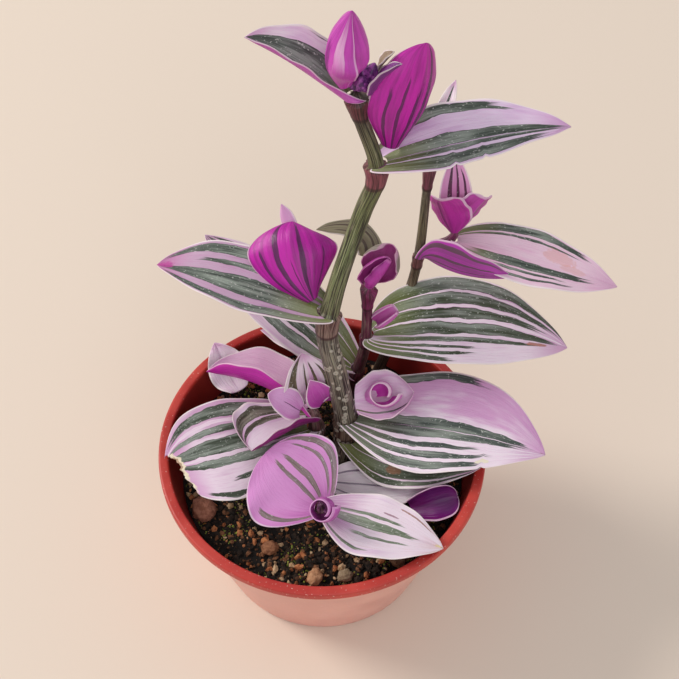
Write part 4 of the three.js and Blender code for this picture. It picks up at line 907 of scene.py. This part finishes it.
def leaf_look(name, leaf, length):
    look = Look(
        "skin_" + name, Subsurface_Weight=0.1, Subsurface_Scale=0.0012,
        Subsurface_Radius=(1.0, 0.6, 0.8),
    )
    seed = (sum(map(ord, name)) % 97) * 3.1
    u, v, _ = look.parts(look.uv())
    wide = leaf.width

    def grain(finest, longest, offset, detail=2):
        """Noise drawn out along the blade, with the size of its grain in millimetres."""
        x = look.times(u, wide / finest)
        y = look.times(v, length / longest)
        return look.noise(look.vector(x, y, seed + offset), 1, detail, 0.6)

    def swing(value, reach):
        return look.times(look.minus(value, 0.5), reach)

    streaks = grain(0.55, 14, 0, 3)
    bands = grain(1.8, 18, 5)
    tone = grain(3.5, 16, 9)
    patches = grain(6, 9, 13)
    dots = grain(0.45, 0.9, 21)
    fine = grain(0.2, 8, 43)
    across = look.plus(look.plus(u, swing(patches, 0.07)), swing(bands, 0.02))
    ahead = look.plus(look.math("MAXIMUM", v, 0.12), swing(streaks, -0.34))
    drift = look.times(look.minus(u, 0.5), leaf.blush)
    paler = look.plus(look.plus(tone, drift), look.times(v, 0.2))

    # Upper side: pale and pink patches, pale stripes and fine veins
    top = look.wash(leaf.light, leaf.pink, 0.3, 0.7, paler, 0.8, 0)
    top = look.wash(top, leaf.tip_pink, 0.75, 1.0, v, 0, 0.7)
    if leaf.pale:
        lit = look.minus(stripe_ramp(look, across, leaf.pale), 0.4)
        top = look.wash(top, leaf.light, -0.1, 0.1, look.plus(lit, swing(streaks, 0.5)))
    top = look.wash(top, leaf.tip_pink, 0.54, 0.64, fine, 0, 0.25)
    if leaf.heart:
        top = look.wash(top, leaf.heart, 0.03, 0.3, ahead, 0.75, 0)

    # Green stripes, with silver bands that are partly painted sheen
    lined = 0.0
    if leaf.green:
        over = look.minus(stripe_ramp(look, across, leaf.green), ahead)
        cover = look.between(-0.02, 0.05, over)
        if any(len(stripe) > 3 for stripe in leaf.green):
            place = look.plus(v, swing(streaks, 0.16))
            started = look.minus(place, start_ramp(look, across, leaf.green))
            cover = look.times(cover, look.between(-0.03, 0.05, started))
        # Lighter grey-green bands in the stripes: partly the leaf's own tone, partly a painted
        # silver sheen
        silver_sheen = look.times(look.between(0.06, 0.4, over), look.between(0.35, 0.62, bands))
        leafy = look.mix(silver_sheen, leaf.deep, leaf.leafy)
        leafy = look.wash(leafy, leaf.leafy, 0.5, 0.66, streaks, 0, 0.35)
        leafy = look.wash(leafy, look.shaded(leafy, "#8c948c"), 0.36, 0.5, fine, 0.6, 0)
        # Pale dots on the green are painted glints of light
        leafy = look.wash(leafy, "#d2d4cc", 0.62, 0.7, dots, 0, leaf.speckle)
        leafy = look.wash(leafy, leaf.foot, 0.02, 0.3, v, 0.7, 0)
        top = look.mix(cover, top, leafy)
        lined = look.times(cover, 0.9)

    # Pale margin, and the lip of a blunt tip
    margin = look.plus(look.math("ABSOLUTE", look.minus(u, 0.5)), swing(streaks, 0.02))
    edge_from = 0.5 - leaf.rim / wide
    edge = look.between(edge_from - 0.006, edge_from + 0.006, margin)
    if leaf.blunt:
        lip = 1 - leaf.rim / length
        edge = look.math("MAXIMUM", edge, look.between(lip - 0.02, lip + 0.02, v))
    top = look.mix(look.times(edge, 0.8), top, leaf.edge)

    # Lower side: bands, the stripes shining through, and a painted sheen
    outer = look.wash(leaf.outer, leaf.outer_dark, 0.35, 0.66, bands, 0, 0.45)
    outer = look.mix(lined, outer, leaf.outer_dark)
    # Painted sheen: soft stripes of the margin colour over the lower side
    if leaf.frost:
        after = look.minus(v, start_ramp(look, across, leaf.frost))
        painted_sheen = look.minus(stripe_ramp(look, across, leaf.frost), ahead)
        painted_sheen = look.math("MINIMUM", painted_sheen, look.plus(after, swing(streaks, 0.2)))
        outer = look.wash(outer, leaf.edge, -0.1, 0.3, painted_sheen, 0, 0.65)
    outer = look.mix(look.times(edge, 0.55), outer, leaf.edge)

    # Both sides, with spots of wear
    under = look.between(0.4, 0.6, look.lower_side(), shape="LINEAR")
    skin = look.mix(under, top, outer)
    rough = grain(1.1, 1.3, 31)
    for mark in leaf.marks:
        skin = look.mix(mark_cover(look, u, v, leaf, length, mark, rough), skin, mark[4])
    look.set(Base_Color=skin, Roughness=look.between(0.3, 0.7, tone, 0.32, 0.48))
    relief = look.plus(streaks, look.times(fine, 0.5))
    look.bump(look.plus(relief, look.times(dots, 0.5)), 0.16 * MM, 0.8)
    return look.material


for stem_name, stem_entry in STEMS.items():
    make_stem(stem_name, stem_entry)
for leaf_name, leaf_entry in LEAVES.items():
    make_leaf(leaf_name, leaf_entry)


# Pot
CORNER_STEPS = 4


def lathe(name, profile):
    """A body of revolution round Z from [radius, height] points that start and end on the axis."""
    angles = np.linspace(0, 2 * math.pi, POT_SEGMENTS, endpoint=False)
    rounds = profile[1:-1]
    points = [
        (radius * math.cos(a), radius * math.sin(a), height)
        for radius, height in rounds for a in angles
    ]
    points += [(0, 0, profile[0][1]), (0, 0, profile[-1][1])]
    faces = ring_faces(len(rounds), POT_SEGMENTS)
    top = (len(rounds) - 1) * POT_SEGMENTS
    for k in range(POT_SEGMENTS):
        b = (k + 1) % POT_SEGMENTS
        faces += [(len(points) - 2, b, k), (top + k, top + b, len(points) - 1)]
    return mesh_object(name, points, faces)


def corner(before, point, after, radius):
    """Points that round a corner of a profile."""
    point = np.array(point, float)
    start = point + unit(np.array(before) - point) * radius
    end = point + unit(np.array(after) - point) * radius
    share = np.linspace(0, 1, CORNER_STEPS + 1)[:, None]
    return ((1 - share) ** 2 * start + 2 * (1 - share) * share * point + share**2 * end).tolist()


def pot_profile():
    """The wall's section from corners that are given as [radius, height] and a roundness."""
    sharp = [
        ([0, 0], 0), ([FOOT_RADIUS, 0], 1.0), ([SHOULDER_RADIUS, POT_SHOULDER], 0.4),
        ([RIM_RADIUS, POT_SHOULDER], 0.5), ([RIM_RADIUS, POT_HEIGHT], 0.8),
        ([RIM_RADIUS - RIM_LIP, POT_HEIGHT], 0.6),
        ([SHOULDER_RADIUS - POT_WALL, POT_SHOULDER], 0.6),
        ([FOOT_RADIUS - POT_WALL, POT_FLOOR], 0.8), ([0, POT_WALL], 0),
    ]
    profile = [sharp[0][0]]
    for (before, _), (point, radius), (after, _) in zip(sharp, sharp[1:], sharp[2:]):
        profile += corner(before, point, after, radius)
    return profile + [sharp[-1][0]]


def make_pot():
    pot = lathe("fine_pot", pot_profile())
    for k in range(DRAIN_HOLES):
        angle = 2 * math.pi * (k + 0.5) / DRAIN_HOLES
        place = DRAIN_RING * MM * math.cos(angle), DRAIN_RING * MM * math.sin(angle), 0
        bpy.ops.mesh.primitive_cylinder_add(
            vertices=DRILL_SIDES, radius=DRAIN_RADIUS * MM, depth=DRILL_LENGTH * MM, location=place
        )
        drill = bpy.context.object
        cut = pot.modifiers.new("drain", "BOOLEAN")
        cut.operation, cut.solver, cut.object = "DIFFERENCE", "EXACT", drill
        bpy.context.view_layer.objects.active = pot
        bpy.ops.object.modifier_apply(modifier=cut.name)
        bpy.data.objects.remove(drill)
    dress(pot, pot_look(), "pot_plastic", "pot")


def pot_look():
    look = Look("red_plastic", Roughness=0.42, Subsurface_Weight=0.1, Subsurface_Scale=0.003)
    where = look.place()
    x, y, z = look.parts(where)
    reach = look.math("SQRT", look.plus(look.times(x, x), look.times(y, y)))
    dust = look.noise(where, 60, 4, 0.6)
    sheen_and_relief_streaks = look.noise(look.vector(x, y, look.times(z, 6)), 90, 3, 0.7)
    # Salmon wall: the plastic lightened by painted reflection, with streaks of painted highlight
    wall = look.wash("#d8978a", "#e6ada0", 0.3, 0.7, dust)
    wall = look.wash(wall, "#e0a793", 0.5, 0.75, sheen_and_relief_streaks, 0, 0.35)
    rim = look.wash("#ae2c24", "#c44034", 0.35, 0.7, dust)
    body = look.wash(wall, rim, (POT_SHOULDER - 0.5) * MM, POT_SHOULDER * MM, z)
    # Painted shade: the inside of the wall below the lip is a darker red
    wall_reach = look.plus(look.times(z, POT_SLOPE), (FOOT_RADIUS - POT_WALL / 2) * MM)
    inner = look.between(-0.2 * MM, 0.2 * MM, look.minus(wall_reach, reach))
    below_lip = look.between((POT_HEIGHT - 1.6) * MM, (POT_HEIGHT - 0.3) * MM, z, 1, 0)
    body = look.wash(body, "#e8cfc4", 0.66, 0.72, look.noise(where, 1500, 2, 0.5), 0, 0.5)
    dark = look.wash("#7c1a18", "#8f2620", 0.3, 0.7, dust)
    look.set(
        Base_Color=look.mix(look.times(inner, below_lip), body, dark),
        Roughness=look.between(0.3, 0.7, dust, 0.36, 0.52),
    )
    look.bump(look.plus(dust, look.times(sheen_and_relief_streaks, 0.5)), 0.2 * MM, 0.4)
    return look.material


make_pot()


# Soil, with lengths in millimetres
SOIL_RINGS = 90
SOIL_SEGMENTS = 200
SOIL_GAP = 0.4
DOME_HEIGHT = 0.6
DOME_REACH = 45
CLOD_SIZE = 7
CLOD_HEIGHT = 1.5
CLOD_LIMIT = 0.9
MOSS_PATCH = 9
SIZE_BIAS = 2.5
KNOB_HEIGHT = 0.26
CRUMB_MARGIN = 1.4
CRUMB_RISE = 0.25
PEBBLE_RELIEF = 0.2
PEBBLE_GRAIN = 1.9


def inside_radius(height):
    return FOOT_RADIUS + POT_SLOPE * height - POT_WALL


def soil_height(x, y):
    """Height of the soil's surface: a low dome with clods."""
    dome = DOME_HEIGHT * (math.hypot(x, y) / DOME_REACH) ** 2
    clods = noise.fractal(Vector((x / CLOD_SIZE, y / CLOD_SIZE, 2.0)), 1.0, 2.0, 4)
    return SOIL_TOP - dome + min(CLOD_HEIGHT * clods, CLOD_LIMIT)


def make_soil():
    """Rings from the lower edge up to the surface and inwards to its middle."""
    angles = [2 * math.pi * k / SOIL_SEGMENTS for k in range(SOIL_SEGMENTS)]
    bottom = POT_FLOOR + GAP
    low_edge = inside_radius(bottom) - 2 * GAP
    points = [(low_edge * math.cos(a), low_edge * math.sin(a), bottom) for a in angles]
    for ring in range(SOIL_RINGS, 0, -1):
        reach = (inside_radius(SOIL_TOP) - SOIL_GAP) * ring / SOIL_RINGS
        for a in angles:
            x, y = reach * math.cos(a), reach * math.sin(a)
            points.append((x, y, soil_height(x, y)))
    faces = ring_faces(SOIL_RINGS + 1, SOIL_SEGMENTS)
    faces.append(tuple(range(SOIL_SEGMENTS - 1, -1, -1)))
    inner = SOIL_RINGS * SOIL_SEGMENTS
    for k in range(SOIL_SEGMENTS):
        faces.append((inner + k, inner + (k + 1) % SOIL_SEGMENTS, len(points)))
    points.append((0, 0, soil_height(0, 0)))
    made = mesh_object("fine_soil", points, faces)
    dress(made, soil_look("peat", "#0a0705", "#1e140d"), "soil", "soil")


def soil_look(name, dark, light, rough=0.95):
    look = Look(name, Roughness=rough)
    where = look.place()
    clods = look.noise(where, 500, 5, 0.7)
    grains = look.noise(where, 2200, 3, 0.7)
    base = look.wash(dark, light, 0.35, 0.65, clods)
    look.set(Base_Color=look.wash(base, "#6a5138", 0.6, 0.8, grains, 0, 0.5))
    look.bump(look.plus(clods, grains), 0.5 * MM, 0.8)
    return look.material


def lump_parts(level):
    """Points and faces of a round lump with radius 1."""
    form = bmesh.new()
    bmesh.ops.create_icosphere(form, subdivisions=level, radius=1)
    points = np.array([v.co for v in form.verts])
    faces = np.array([[v.index for v in f.verts] for f in form.faces])
    form.free()
    return points, faces


def scatter(name, material, count, small, large):
    """Crumbs lying in the top of the soil, as one piece. Moss grows in patches."""
    lump, faces = lump_parts(1)
    bodies = []
    edge = inside_radius(SOIL_TOP) - CRUMB_MARGIN
    while len(bodies) < count:
        angle, reach = rng.uniform(0, 2 * math.pi), edge * math.sqrt(rng.uniform())
        x, y = reach * math.cos(angle), reach * math.sin(angle)
        size = small + (large - small) * rng.uniform() ** SIZE_BIAS
        squash = rng.uniform(0.6, 1.2, 3)
        knobs = 1 + KNOB_HEIGHT * rng.standard_normal(len(lump))[:, None]
        yaw = rng.uniform(0, 2 * math.pi)
        if name == "moss" and noise.noise(Vector((x / MOSS_PATCH, y / MOSS_PATCH, 5.0))) < 0:
            continue
        place = [x, y, soil_height(x, y) + CRUMB_RISE * size]
        bodies.append(turn(lump * knobs * squash * size, UP, math.degrees(yaw)) + place)
    made = joined_object(name, bodies, faces)
    made.data.polygons.foreach_set("use_smooth", [False] * len(made.data.polygons))
    dress(made, material, "soil")


make_soil()
# Crumbs are (dark tone, light tone, count, smallest half-size, largest half-size)
CRUMBS = {
    "crumbs_dark": ("#140e0a", "#382619", 4200, 0.25, 1.2),
    "crumbs_brown": ("#4c2e1c", "#8c5c3c", 2400, 0.2, 1.0),
    "crumbs_tan": ("#9c7854", "#e4c098", 700, 0.2, 1.3),
    "crumbs_orange": ("#8a4826", "#cc8454", 800, 0.2, 1.5),
    "moss": ("#56641c", "#a8b04c", 3000, 0.2, 0.5),
}
for crumb_name, (dark_tone, light_tone, amount, smallest, largest) in CRUMBS.items():
    scatter(crumb_name, soil_look(crumb_name, dark_tone, light_tone), amount, smallest, largest)

# Pebbles are (centre, half-sizes, turn in degrees, dark tone, light tone)
PEBBLES = {
    "pebble_left": ([-36.3, -15.6, 45], [4.4, 3.4, 2.8], 115, "#8f5640", "#b87a62"),
    "pebble_front_left": ([-15.5, -29, 45], [2.6, 2.2, 1.8], 20, "#7c4c30", "#a06a48"),
    "pebble_front": ([-2, -38.5, 44.6], [2.8, 2.2, 1.9], 70, "#b07a54", "#cf9c74"),
    "pebble_front_right": ([7, -38, 44.6], [2.3, 2, 1.7], 10, "#8c7458", "#ab9478"),
    "pebble_right": ([22.5, -33, 44.6], [2.6, 2, 1.7], 140, "#6e4c34", "#8f6a4c"),
}


def make_pebble(name, centre, half, degrees, *tones):
    lump, faces = lump_parts(4)
    seed = Vector((degrees, 0, 0))
    relief = [[noise.fractal(Vector(p * PEBBLE_GRAIN) + seed, 0.7, 2.2, 5)] for p in lump]
    body = turn(lump * (1 + PEBBLE_RELIEF * np.array(relief)) * half, UP, degrees) + centre
    made = joined_object("fine_" + name, [body], faces)
    dress(made, soil_look(name, *tones, rough=0.75), "pebble", name)


for pebble_name, pebble_entry in PEBBLES.items():
    make_pebble(pebble_name, *pebble_entry)

# Flower buds at the top of the main stem
FLOWER_BUDS = SimpleNamespace(
    centre=[11.8, 38.4, 170.5], half=[2, 2, 2.7], spread=0.25, pinch=0.45, point=0.25, pleats=6,
    pleat_depth=0.14,
    offsets=[
        [-2.8, 0.4, -0.6], [-0.8, -1.6, 0.6], [1.2, -0.6, -0.6], [-0.6, 1.4, 1.4], [1.4, 1, 1.6]
    ],
)


def make_flower_buds(flower):
    lump, faces = lump_parts(3)
    bodies = []
    for k, offset in enumerate(flower.offsets):
        angle = np.arctan2(lump[:, 1], lump[:, 0])
        above = np.clip(lump[:, 2], 0, 1)
        pleats = 1 + flower.pleat_depth * np.cos(flower.pleats * angle + k)
        wide = pleats * (1 - flower.pinch * above**2)
        body = lump * np.stack([wide, wide, 1 + flower.point * above], -1) * flower.half
        body = turn(body, (0, 1, 0), math.degrees(flower.spread * offset[0]))
        body = turn(body, (1, 0, 0), math.degrees(-flower.spread * offset[1]))
        bodies.append(body + flower.centre + offset)
    made = joined_object("fine_flower_buds", bodies, faces)
    look = Look("bud_skin", Roughness=0.45)
    folds = look.noise(look.place(), 900, 3, 0.6)
    look.set(Base_Color=look.wash("#4c1a58", "#9c489c", 0.35, 0.65, folds))
    look.bump(folds, 0.3 * MM, 0.6)
    dress(made, look.material, "flower", "flower_buds")


make_flower_buds(FLOWER_BUDS)

# Stage: floor, lights and camera, in metres. Lights are (place, size, power, tint)
FLOOR_SIZE = 6
FLOOR_TINT = "#e0d0c0"
LIGHTS = {
    "key": ((-1.9, 0.65, 1.45), 0.9, 37, (1.0, 0.96, 0.91)),
    "fill": ((0.4, -1.8, 1.7), 1.6, 12, (0.98, 0.98, 1.0)),
}
LIGHTS_AIM = (0, 0.01, 0.09)
SKY_TINT = (0.97, 0.98, 1.0, 1)
SKY_STRENGTH = 0.62
CAMERA_PLACE = (0.0053, -0.2270, 0.4204)
CAMERA_PITCH = 53.73
SENSOR = 36
PICTURE_WIDTH = 679
FOCAL_PIXELS = 1400

bpy.ops.mesh.primitive_plane_add(size=FLOOR_SIZE, location=(0, 0, 0))
floor = bpy.context.object
floor.name = "floor"
floor_look = Look("pale_floor", Roughness=0.8)
floor_look.set(Base_Color=FLOOR_TINT)
floor.data.materials.append(floor_look.material)

for light_name, (place, size, power, tint) in LIGHTS.items():
    light_data = bpy.data.lights.new(light_name, "AREA")
    light_data.shape = "DISK"
    light_data.size = size
    light_data.energy = power
    light_data.color = tint
    light = bpy.data.objects.new(light_name, light_data)
    light.location = place
    light.rotation_euler = (Vector(LIGHTS_AIM) - Vector(place)).to_track_quat("-Z", "Y").to_euler()
    bpy.context.scene.collection.objects.link(light)

world = bpy.data.worlds.new("studio")
world.use_nodes = True
sky = world.node_tree.nodes["Background"]
sky.inputs["Color"].default_value = SKY_TINT
sky.inputs["Strength"].default_value = SKY_STRENGTH
bpy.context.scene.world = world
bpy.context.scene.view_settings.view_transform = "Standard"

camera_data = bpy.data.cameras.new("camera")
camera_data.sensor_width = SENSOR
camera_data.lens = SENSOR * FOCAL_PIXELS / PICTURE_WIDTH
camera = bpy.data.objects.new("camera", camera_data)
camera.location = CAMERA_PLACE
camera.rotation_euler = (math.radians(90 - CAMERA_PITCH), 0, 0)
bpy.context.scene.collection.objects.link(camera)
bpy.context.scene.camera = camera
